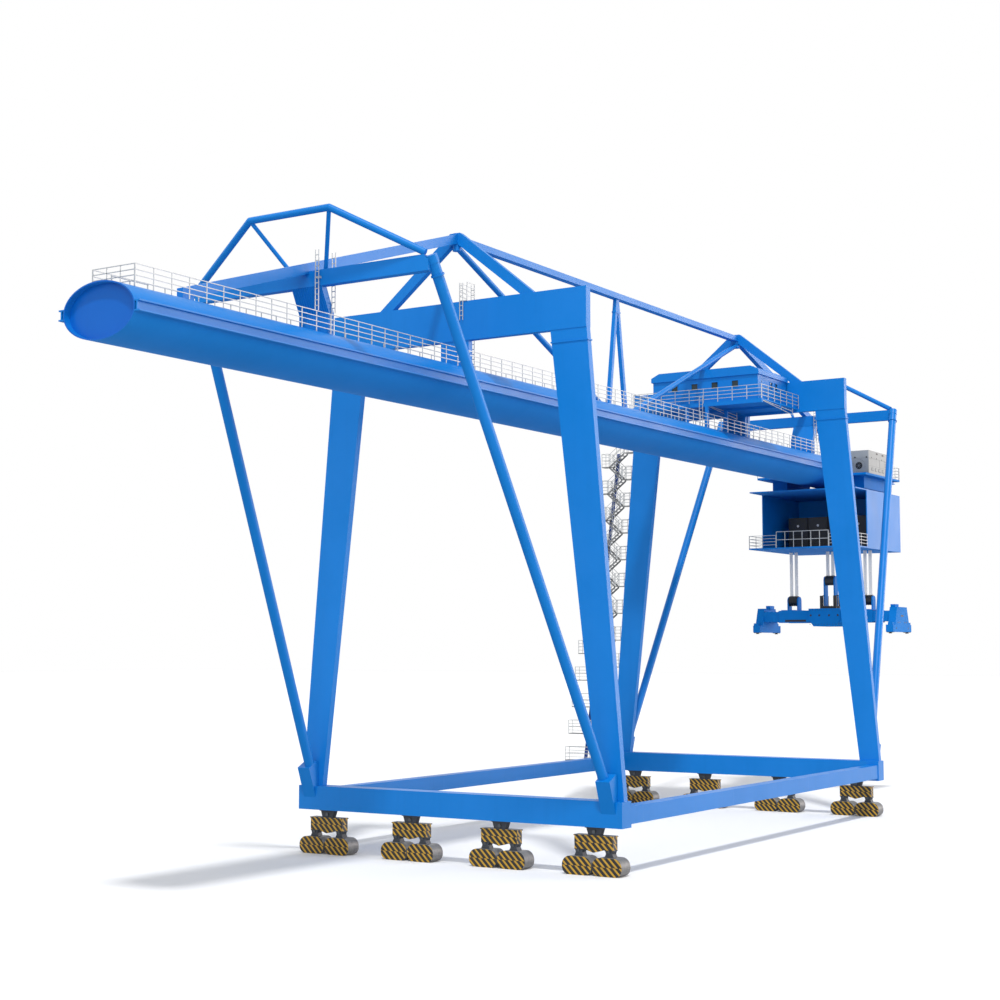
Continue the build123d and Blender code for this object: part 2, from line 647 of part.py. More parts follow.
def make_outer_frames():
    foot, head = brace_line()
    length = (Vector(*head) - Vector(*foot)).length
    shaft = pipe(foot, head, BRACE_RADIUS)
    cap = pipe(along(foot, head, length - BRACE_CAP_LENGTH), head, BRACE_CAP_RADIUS)
    collar_at = length - BRACE_COLLAR_DROP
    collar = pipe(along(foot, head, collar_at), along(foot, head, collar_at + BRACE_COLLAR_LENGTH), BRACE_COLLAR_RADIUS)
    face = RAIL_HALF_GAUGE + SILL_WIDTH / 2
    inner, outer = BRACE_FOOT_OFFSET - SHOE_WIDTH / 2, BRACE_FOOT_OFFSET + SHOE_WIDTH / 2
    back = RAIL_HALF_GAUGE + LEG_THICKNESS / 2
    heel = (face - SHOE_LIP_REACH / 8, SILL_TOP + SHOE_HEEL_RISE)
    lip = (face + SHOE_LIP_REACH, SILL_TOP + SHOE_LIP_RISE)
    shoe = slab_along_y([(face, SILL_TOP - SHOE_TOE_DROP), lip, heel, (back, heel[1] - SHOE_LIP_REACH / 2),
                         (back, SILL_TOP), (face, SILL_TOP)], inner, outer)
    drop = 2 * (SILL_TOP + SHOE_HEEL_RISE)
    below = slab_along_y([lip, heel, (heel[0] - drop, heel[1]), (heel[0] - drop, -drop), (lip[0], -drop)],
                         inner - drop, outer + drop)
    brace = shaft - below + cap + collar
    half = OUTER_BEAM_THICKNESS / 2
    cross = block(OUTER_FRAME_PLACE - half, OUTER_FRAME_PLACE + half, -OUTER_NODE_PLACE, OUTER_NODE_PLACE,
                  OUTER_BEAM_UNDERSIDE, OUTER_BEAM_TOP)
    room = pipe(foot, along(foot, head, length + CUT_OVERRUN), BRACE_CAP_RADIUS + SEAT_GAP)
    cross = cross - room - swapped_sides(room) - outer_tie(OUTER_TIE_WIDTH / 2)
    return {"brace_shoes": group(four(shoe)), "corner_braces": group(four(brace)),
            "outer_beams": group([cross, swapped_ends(cross)])}


def make_hoops():
    """Bent pipe over each outer beam, propped from the beam by two short struts."""
    foot, head = brace_line()
    top = (OUTER_FRAME_PLACE + HOOP_LEAN, HOOP_TOP_OFFSET, HOOP_TOP_LEVEL)
    start = along(head, top, BRACE_CAP_RADIUS + SEAT_GAP)
    arm = pipe(start, top, HOOP_RADIUS) + Pos(*top) * Sphere(HOOP_RADIUS)
    strut = pipe((OUTER_FRAME_PLACE, HOOP_STRUT_FOOT, OUTER_BEAM_TOP), top, HOOP_STRUT_RADIUS)
    strut = strut - block(OUTER_FRAME_PLACE - CUT_OVERRUN, OUTER_FRAME_PLACE + CUT_OVERRUN, 0,
                          OUTER_NODE_PLACE, OUTER_BEAM_UNDERSIDE, OUTER_BEAM_TOP)
    bridge = pipe(top, (top[0], 0, top[2]), HOOP_RADIUS)
    length = (Vector(*head) - Vector(*foot)).length
    room = pipe(foot, along(foot, head, length), BRACE_CAP_RADIUS + SEAT_GAP)
    half = OUTER_BEAM_THICKNESS / 2 + SEAT_GAP
    over = block(OUTER_FRAME_PLACE - half, OUTER_FRAME_PLACE + half, HOOP_TOP_OFFSET, OUTER_NODE_PLACE,
                 OUTER_BEAM_UNDERSIDE, OUTER_BEAM_TOP + SEAT_GAP)
    half_hoop = arm + bridge + strut - room - over
    hoop = half_hoop + swapped_sides(half_hoop)
    return {"outer_hoops": group([hoop, swapped_ends(hoop)])}


def make_hangers():
    half = HANGER_THICKNESS / 2
    wide = HANGER_HALF_WIDTH
    floor = GIRDER_AXIS
    room = girder_bar(SEAT_GAP)
    portal = block(RAIL_HALF_GAUGE - half, RAIL_HALF_GAUGE + half, -wide, wide, floor, CROSSBEAM_UNDERSIDE) - room
    thick = OUTER_HANGER_THICKNESS
    near = OUTER_FRAME_PLACE - thick / 2
    knee = OUTER_BEAM_UNDERSIDE - OUTER_HANGER_BEND_DROP
    foot = near - OUTER_HANGER_SHIFT
    outer = slab_along_y([(near, OUTER_BEAM_UNDERSIDE), (near + thick, OUTER_BEAM_UNDERSIDE), (foot + thick, knee),
                          (foot + thick, floor), (foot, floor), (foot, knee)], -wide, wide) - room
    return {"girder_hangers": group([portal, swapped_ends(portal), outer, swapped_ends(outer)])}


# Top structure

def outer_tie(half_width):
    """Raking tie from the apex down to the girder's cantilever, with its foot plate."""
    start = RAIL_HALF_GAUGE + APEX_THICKNESS / 2
    end, drop = OUTER_TIE_END_PLACE, OUTER_TIE_DEPTH
    foot = end - OUTER_TIE_FOOT_LENGTH
    slope = (OUTER_TIE_TOP - OUTER_TIE_END) / (end - start)
    return slab_along_y([(start, OUTER_TIE_TOP), (end, OUTER_TIE_END), (end, GIRDER_AXIS), (foot, GIRDER_AXIS),
                         (foot, OUTER_TIE_END - drop + slope * OUTER_TIE_FOOT_LENGTH), (start, OUTER_TIE_TOP - drop)],
                        -half_width, half_width)


def make_top():
    half = APEX_THICKNESS / 2
    face = RAIL_HALF_GAUGE - half
    foot = CROSSBEAM_TOP
    frame = slab_along_x([(-APEX_FOOT_OUTER, foot), (-APEX_HALF_WIDTH, APEX_TOP), (APEX_HALF_WIDTH, APEX_TOP),
                          (APEX_FOOT_OUTER, foot), (APEX_FOOT_INNER, foot), (0, APEX_TOP - APEX_CROTCH_DROP),
                          (-APEX_FOOT_INNER, foot)], face, face + APEX_THICKNESS)
    pin_foot = (RAIL_HALF_GAUGE, 0, APEX_TOP - APEX_PIN_LENGTH)
    frame = frame + pipe(pin_foot, (RAIL_HALF_GAUGE, 0, APEX_TOP), APEX_PIN_RADIUS)
    pin_room = pipe(pin_foot, (RAIL_HALF_GAUGE, 0, APEX_TOP), APEX_PIN_RADIUS + SEAT_GAP)
    room = girder_bar(SEAT_GAP)
    outer = outer_tie(OUTER_TIE_WIDTH / 2) - room - pin_room
    tie = block(-face, face, -TOP_TIE_WIDTH / 2, TOP_TIE_WIDTH / 2, TOP_TIE_UNDERSIDE, TOP_TIE_UNDERSIDE + TOP_TIE_HEIGHT)
    tie = tie - pin_room - swapped_ends(pin_room)
    inner = pipe((RAIL_HALF_GAUGE, 0, APEX_TOP - INNER_TIE_DROP), (INNER_TIE_FOOT_PLACE, 0, GIRDER_CROWN - INNER_TIE_RADIUS),
                 INNER_TIE_RADIUS)
    inner = inner - room - tie - frame - pin_room
    inner = max(inner.solids(), key=lambda solid: solid.volume)
    head = (0, 0, TOP_TIE_UNDERSIDE + TOP_TIE_HEIGHT / 2)
    base = (STRUT_FOOT_PLACE, 0, GIRDER_AXIS)
    strut = beam(base, head, STRUT_THICKNESS, STRUT_THICKNESS)
    collar = beam(along(head, base, STRUT_COLLAR_DROP), along(head, base, STRUT_COLLAR_DROP + STRUT_COLLAR_LENGTH),
                  STRUT_THICKNESS + STRUT_COLLAR_LIP, STRUT_THICKNESS + STRUT_COLLAR_LIP)
    strut = strut + collar
    struts = strut + swapped_ends(strut) - room - tie
    struts = struts - block(-STRUT_FOOT_PLACE, STRUT_FOOT_PLACE, -TOP_TIE_WIDTH, TOP_TIE_WIDTH,
                            TOP_TIE_UNDERSIDE, APEX_TOP)
    return {"apex_frames": group([frame, swapped_ends(frame)]), "outer_ties": group([outer, swapped_ends(outer)]),
            "top_tie": tie, "inner_ties": group([inner, swapped_ends(inner)]), "middle_struts": group([struts])}


def walkway_top():
    """Height of the walkway's top rail, the same on both sides of the girder."""
    return girder_crown(WALKWAY_RIGHT_PLACE - RAIL_TUBE / 2) + SEAT_GAP + RAILING_HEIGHT


def walkway_side(place):
    """Railing along the girder at a sideways place, up to the walkway's top rail."""
    foot = girder_crown(abs(place) - RAIL_TUBE / 2) + SEAT_GAP
    end = GIRDER_HALF_LENGTH - WALKWAY_END_INSET
    return side_railing(stations(-end, end, RAILING_PITCH), place, foot, height=walkway_top() - foot)


# Walkways and ladders

def make_walkway():
    room = RAIL_TUBE + SEAT_GAP
    right, left = -WALKWAY_RIGHT_PLACE + room, WALKWAY_LEFT_PLACE - room
    foot = girder_crown(right + RAIL_TUBE / 2) + SEAT_GAP
    end = GIRDER_HALF_LENGTH - WALKWAY_END_INSET
    across = end_railing([right, left], end, foot, height=walkway_top() - foot)
    return {"walkway_railings": group([walkway_side(-WALKWAY_RIGHT_PLACE), walkway_side(WALKWAY_LEFT_PLACE), across,
                                       swapped_ends(across)])}


def portal_access():
    """Landing on each crossbeam, with the ladders that reach it, and its two side railings."""
    plates, ladders, rails = [], [], []
    top = CROSSBEAM_TOP + LANDING_PLATE
    half, edge = CROSSBEAM_THICKNESS / 2, RAIL_TUBE / 2
    for sign in (-1, 1):
        outward = sign * (RAIL_HALF_GAUGE + half + LANDING_OUTER_LIP)
        inward = sign * (RAIL_HALF_GAUGE - half - (LANDING_INNER_LIP if sign < 0 else LANDING_OUTER_LIP))
        low, high = min(outward, inward), max(outward, inward)
        wide = LANDING_WIDTH / 2
        plates.append(block(low, high, -LANDING_PLACE - wide, -LANDING_PLACE + wide, CROSSBEAM_TOP, top))
        for y in (-LANDING_PLACE - wide + edge, -LANDING_PLACE + wide - edge):
            rails.append(side_railing([low + RAIL_TUBE, high - RAIL_TUBE], y, top))
        front = LANDING_PLACE - LADDER_STAGGER
        foot = CROSSBEAM_TOP - LADDER_SHORT_DROP if sign < 0 else ladder_foot(front)
        ladders.append(Pos(outward + sign * (SEAT_GAP + edge), -front, 0) * ladder(foot, top + LADDER_OVERRUN))
        if sign < 0:
            back = LANDING_PLACE + LADDER_STAGGER
            ladders.append(Pos(inward + SEAT_GAP + edge, -back, 0) * ladder(ladder_foot(back), top + LADDER_OVERRUN))
    return plates, ladders, rails


def ladder_foot(place):
    """Height at which a ladder's inner stile stands on the girder's skin."""
    return girder_crown(place - LADDER_WIDTH / 2) + SEAT_GAP


def outer_access():
    """Two ladders on each outer beam, one on either side, held off the beam by clips."""
    clips, ladders = [], []
    half, edge = OUTER_BEAM_THICKNESS / 2, RAIL_TUBE / 2
    foot, top = walkway_top() + LADDER_FOOT_LIFT, OUTER_BEAM_TOP + LADDER_OVERRUN
    middle = (OUTER_BEAM_UNDERSIDE + OUTER_BEAM_TOP) / 2
    tall = LADDER_CLIP_HEIGHT / 2
    for sign in (-1, 1):
        for side, gap in ((1, OUTER_LADDER_FRONT_GAP), (-1, OUTER_LADDER_BACK_GAP)):
            y = -OUTER_LADDER_PLACE + side * OUTER_LADDER_SPREAD
            face = sign * (OUTER_FRAME_PLACE + side * half)
            out = sign * (OUTER_FRAME_PLACE + side * (half + gap))
            ladders.append(Pos(out + sign * side * edge, y, 0) * ladder(foot, top))
            for stile in (y - LADDER_WIDTH / 2 + edge, y + LADDER_WIDTH / 2 - edge):
                clips.append(block(face, out, stile - edge, stile + edge, middle - tall, middle + tall))
    return clips, ladders


def make_beam_access():
    plates, ladders, rails = portal_access()
    clips, outer_ladders = outer_access()
    return {"beam_ladders": group(ladders + outer_ladders), "beam_landings": group(plates + clips),
            "beam_railings": group(rails)}


# Stair tower

def stair_share(height):
    """How far up the stair a height lies, from 0 at its foot to 1 at its head."""
    return (height - STAIR_START) / (STAIR_HEAD - STAIR_START)


def stair_face(height):
    """Sideways place of a landing's edge against the leaning leg."""
    return leg_edge(height - STAIR_LANDING_PLATE, LEG_FOOT_OUTER, LEG_HEAD_OUTER) + SEAT_GAP


def stair_post_place(height):
    """Sideways place of the stair's leaning post."""
    return stair_face(height) + STAIR_SPREAD_FOOT + (STAIR_SPREAD_HEAD - STAIR_SPREAD_FOOT) * stair_share(height)


def landing_edges(step):
    """Height and inner and outer edge of a landing; odd ones lie at the leg, even ones reach beyond the post."""
    height = STAIR_START + (STAIR_HEAD - STAIR_START) * step / STAIR_FLIGHTS
    inner = stair_face(height)
    if step % 2 == 0:
        beyond = STAIR_BEYOND_FOOT + (STAIR_BEYOND_HEAD - STAIR_BEYOND_FOOT) * stair_share(height)
        return height, inner + STAIR_LANDING_LENGTH + STAIR_RUN, stair_post_place(height) + beyond
    return height, inner, inner + STAIR_LANDING_LENGTH


def make_stairs():
    near = RAIL_HALF_GAUGE - LEG_THICKNESS / 2
    far = near + STAIR_WIDTH
    plate, edge = STAIR_LANDING_PLATE, RAIL_TUBE / 2
    landings, treads, rails, stringers = [], [], [], []
    for step in range(STAIR_FLIGHTS + 1):
        height, inner, outer = landing_edges(step)
        landings.append(block(near, far, inner, outer, height - plate, height))
        rails.append(end_railing([inner + edge, outer - edge], near + edge, height))
    for step in range(STAIR_FLIGHTS):
        low, low_in, low_out = landing_edges(step)
        high, high_in, high_out = landing_edges(step + 1)
        start = low_in if step % 2 == 0 else low_out
        end = high_out if step % 2 == 0 else high_in
        depth = STAIR_STRINGER_DEPTH
        for x in (near, far - STAIR_STRINGER_PLATE):
            stringers.append(slab_along_x([(start, low), (end, high), (end, high - depth), (start, low - depth)],
                                          x, x + STAIR_STRINGER_PLATE))
        for tread in range(STAIR_TREADS):
            share = (tread + 1) / (STAIR_TREADS + 1)
            y, z = start + (end - start) * share, low + (high - low) * share
            treads.append(block(near + STAIR_STRINGER_PLATE, far - STAIR_STRINGER_PLATE, y - STAIR_TREAD_DEPTH / 2,
                                y + STAIR_TREAD_DEPTH / 2, z - STAIR_TREAD_PLATE, z))
    half = STAIR_POST_THICKNESS / 2
    foot, head = STAIR_START - STAIR_STRINGER_DEPTH, STAIR_HEAD
    post = slab_along_x([(stair_post_place(foot) - half, foot), (stair_post_place(foot) + half, foot),
                         (stair_post_place(head) + half, head), (stair_post_place(head) - half, head)],
                        far, far + STAIR_POST_THICKNESS)
    back = far + STAIR_POST_THICKNESS
    foot_plate = block(near, back, SILL_LENGTH / 2, stair_post_place(foot) + half, foot - plate, foot)
    foot_plate = foot_plate + block(near, back, SILL_LENGTH / 2, SILL_LENGTH / 2 + plate, TIE_UNDERSIDE, foot)
    return {"stair_landings": group(landings), "stair_stringers": group(stringers), "stair_treads": group(treads),
            "stair_post": post + foot_plate, "stair_railings": group(rails)}


# Machinery house

def window_places():
    return [WINDOW_PITCH * share for share in (-1.5, -0.5, 0.5, 1.5)]


def make_house():
    wall, half = HOUSE_WALL, HOUSE_HALF_WIDTH
    floor_top = HOUSE_DECK_TOP + HOUSE_FLOOR
    shell = block(HOUSE_FRONT, HOUSE_BACK, -half, half, HOUSE_DECK_TOP, HOUSE_EAVE)
    shell = shell - block(HOUSE_FRONT + wall, HOUSE_BACK - wall, -half + wall, half - wall, floor_top,
                          HOUSE_EAVE + CUT_OVERRUN)
    sill, head = WINDOW_SILL, WINDOW_SILL + WINDOW_HEIGHT
    panes = []
    mid = HOUSE_FRONT + wall / 2
    for y in window_places():
        y0, y1 = y - WINDOW_WIDTH / 2, y + WINDOW_WIDTH / 2
        shell = shell - block(HOUSE_FRONT - CUT_OVERRUN, HOUSE_FRONT + 2 * wall, y0, y1, sill, head)
        panes.append(block(mid - WINDOW_PANE / 2, mid + WINDOW_PANE / 2, y0, y1, sill, head))
    door_edge = HOUSE_FRONT + DOOR_INSET
    side_mid = -half + wall / 2
    for step in (1, 2):
        x = door_edge + DOOR_WIDTH + SIDE_WINDOW_PITCH * step
        x0, x1 = x - SIDE_WINDOW_WIDTH / 2, x + SIDE_WINDOW_WIDTH / 2
        shell = shell - block(x0, x1, -half - CUT_OVERRUN, -half + 2 * wall, sill, head)
        panes.append(block(x0, x1, side_mid - WINDOW_PANE / 2, side_mid + WINDOW_PANE / 2, sill, head))
    shell = shell - block(door_edge, door_edge + DOOR_WIDTH, -half - CUT_OVERRUN, -half + 2 * wall, floor_top,
                          floor_top + DOOR_HEIGHT)
    leaf = block(door_edge + DOOR_GAP, door_edge + DOOR_WIDTH - DOOR_GAP, -half, -half + DOOR_LEAF,
                 floor_top + DOOR_GAP, floor_top + DOOR_HEIGHT - DOOR_GAP)
    lip, eave, fascia = ROOF_LIP, HOUSE_EAVE, HOUSE_EAVE + ROOF_FASCIA
    outer = half + lip
    ridge = fascia + ROOF_SLOPE_RISE
    roof = slab_along_x([(-outer, eave), (outer, eave), (outer, fascia), (outer - ROOF_SLOPE_RUN, ridge),
                         (-outer + ROOF_SLOPE_RUN, ridge), (-outer, fascia)], HOUSE_FRONT - lip, HOUSE_BACK + lip)
    return {"house_walls": shell, "house_windows": group(panes), "house_door": leaf, "house_roof": roof}


def make_house_platform():
    front, back, wide = HOUSE_DECK_FRONT, HOUSE_DECK_BACK, HOUSE_DECK_HALF_WIDTH
    top, low = HOUSE_DECK_TOP, HOUSE_DECK_UNDERSIDE
    deck = block(front, back, -wide, wide, low, top)
    bearer_low = low - HOUSE_BEARER_HEIGHT
    room = girder_bar(SEAT_GAP)
    thick, post_half = HOUSE_BEARER_WIDTH, HOUSE_POST_THICKNESS / 2
    inner_back = back - thick
    for x in (front, (front + inner_back) / 2, inner_back):
        deck = deck + block(x, x + thick, -wide, wide, bearer_low, low)
        for y in (-HOUSE_POST_PLACE, HOUSE_POST_PLACE):
            deck = deck + (block(x, x + thick, y - post_half, y + post_half, GIRDER_AXIS, bearer_low) - room)
    edge = RAIL_TUBE / 2
    ends = stations(-wide + edge, wide - edge, RAILING_PITCH)
    sides = stations(front + RAIL_TUBE + SEAT_GAP + edge, back - edge, RAILING_PITCH)
    rails = [end_railing(ends, front + edge, top), side_railing(sides, wide - edge, top),
             side_railing(sides, -wide + edge, top)]
    return {"house_platform": deck, "house_railings": group(rails)}


# Trolley

def make_trolley():
    x0, x1 = TROLLEY_PLACE - TROLLEY_HALF_LENGTH, TROLLEY_PLACE + TROLLEY_HALF_LENGTH
    box_half = TROLLEY_SIDE_HALF_LENGTH
    side = block(TROLLEY_PLACE - box_half, TROLLEY_PLACE + box_half, TROLLEY_SIDE_INNER, TROLLEY_SIDE_OUTER,
                 TROLLEY_SIDE_UNDERSIDE, TROLLEY_SIDE_TOP)
    slab = block(x0, x1, TROLLEY_SIDE_INNER, TROLLEY_SLAB_REACH, TROLLEY_SIDE_TOP, SLAB_TOP)
    axle_height = BRACKET_TOP + SEAT_GAP + WHEEL_RADIUS
    cheek_top = axle_height + AXLE_RADIUS + WHEEL_CHEEK
    cheek_in = BRACKET_REACH + RUN_GAP
    frames = side + slab
    middle = (WHEEL_FAR_PLACE + WHEEL_NEAR_PLACE) / 2
    wheels = []
    for sign in (-1, 1):
        cx = TROLLEY_PLACE + sign * middle
        half = WHEEL_CHEEK_LENGTH / 2
        frames = frames + block(cx - half, cx + half, cheek_in, cheek_in + WHEEL_CHEEK, TROLLEY_SIDE_TOP, cheek_top)
        frames = frames + block(cx - half, cx + half, cheek_in, TROLLEY_SIDE_INNER, TROLLEY_SIDE_TOP, SLAB_TOP)
        for place in (WHEEL_NEAR_PLACE, WHEEL_FAR_PLACE):
            wx = TROLLEY_PLACE + sign * place
            tread = pipe((wx, WHEEL_PLACE - WHEEL_WIDTH / 2, axle_height), (wx, WHEEL_PLACE + WHEEL_WIDTH / 2, axle_height),
                         WHEEL_RADIUS)
            axle = pipe((wx, WHEEL_PLACE, axle_height), (wx, cheek_in, axle_height), AXLE_RADIUS)
            wheels.append(tread + axle)
    cross = Pos(TROLLEY_PLACE, 0, 0) * block(-TROLLEY_CROSS_HALF_LENGTH, TROLLEY_CROSS_HALF_LENGTH, -TROLLEY_SIDE_INNER,
                                             TROLLEY_SIDE_INNER, TROLLEY_CROSS_UNDERSIDE, TROLLEY_CROSS_TOP)
    ring_top = TROLLEY_CROSS_UNDERSIDE
    ring_low = SLEW_ROOF_TOP + (SLEW_RING_HEIGHT + SLEW_GAP) / 2
    ring = Circle(SLEW_RING_RADIUS) - Circle(SLEW_RING_RADIUS - SLEW_RING_WALL)
    ring = extrude(Plane(origin=(TROLLEY_PLACE, 0, ring_low)) * ring, amount=ring_top - ring_low)
    table = extrude(Plane(origin=(TROLLEY_PLACE, 0, ring_top)) * Circle(SLEW_RING_RADIUS), amount=TROLLEY_CROSS_HEIGHT)
    frame = frames + swapped_sides(frames) + cross + table + ring
    wheels = wheels + [swapped_sides(wheel) for wheel in wheels]
    cabinet = Pos(TROLLEY_PLACE, 0, 0) * block(CABINET_FRONT, CABINET_BACK, -CABINET_OUTER, -CABINET_INNER, SLAB_TOP,
                                               SLAB_TOP + CABINET_HEIGHT)
    cabinet = fillet(cabinet.edges().filter_by(Axis.Z), CABINET_ROUND)
    edge = RAIL_TUBE / 2
    outer_places = stations(TROLLEY_PLACE + CABINET_BACK + RAIL_TUBE, x1 - edge, RAILING_PITCH)
    full_places = stations(x0 + edge, x1 - edge, RAILING_PITCH)
    reach = TROLLEY_SLAB_REACH - edge
    room = RAIL_TUBE + SEAT_GAP
    end_places = stations(-reach + room, -CABINET_INNER, RAILING_PITCH)
    rails = [side_railing(outer_places, -reach, SLAB_TOP), side_railing(full_places, reach, SLAB_TOP),
             end_railing(end_places, x1 - edge, SLAB_TOP)]
    return {"trolley_frame": frame, "trolley_wheels": group(wheels), "trolley_cabinet": cabinet,
            "trolley_railings": group(rails)}


# Slewing house

def rope_groups():
    """Sideways place and sheave height of each rope group."""
    low = MAIN_TOP + SHEAVE_RISE
    return [(-ROPE_GROUP_PLACE, low), (0, MAIN_TOP + SHEAVE_HIGH_RISE), (ROPE_GROUP_PLACE, low)]


def rope_offsets():
    """Sideways offsets of a group's ropes: two bands, mirrored about the sheave's middle."""
    band = [ROPE_INNER_PLACE + ROPE_PITCH * i for i in range(ROPES_PER_BAND)]
    return [-offset for offset in reversed(band)] + band


def make_slew_house():
    wide, wall = SLEW_HALF_WIDTH, SLEW_WALL
    at = Pos(TROLLEY_PLACE, 0, 0)
    deck = block(SLEW_DECK_FRONT, SLEW_DECK_BACK, -wide, wide, SLEW_DECK_UNDERSIDE, DECK_TOP)
    slot = rope_offsets()[-1] + ROPE_RADIUS + ROPE_SLOT_ROOM
    for y, height in rope_groups():
        deck = deck - block(-ROPE_SLOT_WIDTH / 2, ROPE_SLOT_WIDTH / 2, y - slot, y + slot,
                            SLEW_DECK_UNDERSIDE - CUT_OVERRUN, DECK_TOP + CUT_OVERRUN)
    roof = block(SLEW_ROOF_FRONT, SLEW_DECK_BACK, -wide, wide, SLEW_ROOF_UNDERSIDE, SLEW_ROOF_TOP)
    ring = Circle(SLEW_RING_RADIUS) - Circle(SLEW_RING_RADIUS - SLEW_RING_WALL)
    roof = roof + extrude(Plane(origin=(0, 0, SLEW_ROOF_TOP)) * ring, amount=(SLEW_RING_HEIGHT - SLEW_GAP) / 2)
    side = block(SLEW_WALL_FRONT, SLEW_DECK_BACK, wide - wall, wide, DECK_TOP, SLEW_ROOF_UNDERSIDE)
    inner = wide - wall - SEAT_GAP
    back = block(SLEW_DECK_BACK - wall, SLEW_DECK_BACK, -inner, inner, DECK_TOP, SLEW_ROOF_UNDERSIDE)
    winches = []
    for share in (-1.5, -0.5, 0.5, 1.5):
        y = share * WINCH_PITCH
        winches.append(block(WINCH_FRONT, WINCH_BACK, y - WINCH_LENGTH / 2, y + WINCH_LENGTH / 2, DECK_TOP,
                             DECK_TOP + WINCH_HEIGHT))
    walls = group([at * side, at * swapped_sides(side), at * back])
    return {"slew_deck": at * deck, "slew_roof": at * roof, "slew_walls": walls,
            "winch_housings": group([at * winch for winch in winches]), **make_deck_edge()}


def make_deck_edge():
    """Panels along the slewing deck's front edge, with plain railing beside them and back to the walls."""
    wide, room, edge = SLEW_HALF_WIDTH, RAIL_TUBE + SEAT_GAP, RAIL_TUBE / 2
    at = Pos(TROLLEY_PLACE, 0, 0)
    front = SLEW_DECK_FRONT + edge
    sides = stations(front + room, SLEW_WALL_FRONT - room, RAILING_PITCH)
    right = stations(-wide + edge, -GUARD_RIGHT_REACH - GUARD_BAR - SEAT_GAP, RAILING_PITCH)
    left = stations(GUARD_LEFT_REACH + GUARD_BAR + SEAT_GAP, wide - edge, RAILING_PITCH)
    rails = [end_railing(right, front, DECK_TOP), end_railing(left, front, DECK_TOP),
             side_railing(sides, wide - edge, DECK_TOP), side_railing(sides, -wide + edge, DECK_TOP)]
    guard = end_railing(stations(-GUARD_RIGHT_REACH, GUARD_LEFT_REACH, GUARD_PITCH), SLEW_DECK_FRONT + GUARD_BAR / 2,
                        DECK_TOP, height=GUARD_HEIGHT, rows=2, bar=GUARD_BAR)
    return {"slew_railings": group([at * rail for rail in rails]), "winch_guard": at * guard}


# Ropes and spreader

def make_ropes():
    ropes = {"outer_ropes": [], "centre_ropes": []}
    for y, height in rope_groups():
        name = "outer_ropes" if y else "centre_ropes"
        for offset in rope_offsets():
            low = height + SHEAVE_RADIUS + SEAT_GAP
            ropes[name].append(pipe((TROLLEY_PLACE, y + offset, low), (TROLLEY_PLACE, y + offset, DECK_TOP),
                                    ROPE_RADIUS))
    return {name: group(solids) for name, solids in ropes.items()}


def make_spreader():
    at = Pos(TROLLEY_PLACE, 0, 0)
    top, low = MAIN_TOP, MAIN_UNDERSIDE
    keel = low + MAIN_KEEL_HEIGHT
    frame = slab_along_x([(-MAIN_HALF_LENGTH, top), (MAIN_HALF_LENGTH, top), (MAIN_HALF_LENGTH, keel),
                          (MAIN_KEEL_HALF_LENGTH, low), (-MAIN_KEEL_HALF_LENGTH, low), (-MAIN_HALF_LENGTH, keel)],
                         -MAIN_HALF_WIDTH, MAIN_HALF_WIDTH)
    half = SLEEVE_WIDTH / 2
    plate = SLEEVE_PLATE
    length = SLEEVE_HALF_LENGTH
    for x in (-SLEEVE_PLACE, SLEEVE_PLACE):
        frame = frame + block(x - half, x + half, -length, length, SLEEVE_UNDERSIDE, SLEEVE_TOP)
    for x in (-SLEEVE_PLACE, SLEEVE_PLACE):
        frame = frame - block(x - half + plate, x + half - plate, -length - CUT_OVERRUN, length + CUT_OVERRUN,
                              SLEEVE_UNDERSIDE + plate, SLEEVE_TOP - plate)
    for y in (-ROPE_GROUP_PLACE, ROPE_GROUP_PLACE):
        frame = frame + block(-SLEEVE_PLACE - half, SLEEVE_PLACE + half, y - SADDLE_HALF_LENGTH,
                              y + SADDLE_HALF_LENGTH, SLEEVE_TOP, SLEEVE_TOP + plate)
    sheaves, cheeks = [], []
    for y, height in rope_groups():
        base = MAIN_TOP + TURNTABLE_HEIGHT if y == 0 else SLEEVE_TOP + plate
        sheaves.append(pipe((0, y - SHEAVE_WIDTH / 2, height), (0, y + SHEAVE_WIDTH / 2, height), SHEAVE_RADIUS))
        for side in (-1, 1):
            inner = y + side * (SHEAVE_WIDTH / 2 + SEAT_GAP)
            cheeks.append(sheave_cheek(inner, inner + side * SHEAVE_CHEEK, base, height))
    table = extrude(Plane(origin=(0, 0, MAIN_TOP)) * Circle(TURNTABLE_RADIUS), amount=TURNTABLE_HEIGHT)
    drive = table
    for x in (-MOTOR_PLACE, MOTOR_PLACE):
        for y in (-MOTOR_PLACE, MOTOR_PLACE):
            drive = drive + pipe((x, y, MAIN_TOP), (x, y, MAIN_TOP + TURNTABLE_HEIGHT + MOTOR_HEIGHT), MOTOR_RADIUS)
    return {"spreader_frame": at * frame, "sheaves": group([at * sheave for sheave in sheaves]),
            "sheave_cheeks": group([at * cheek for cheek in cheeks]), "spreader_drive": at * drive}


def sheave_cheek(inner, outer, base, height):
    """Upright plate beside a sheave with a round head about the sheave's axle."""
    half = SHEAVE_CHEEK_WIDTH / 2
    head = pipe((0, inner, height), (0, outer, height), half)
    return head + block(-half, half, inner, outer, base, height)


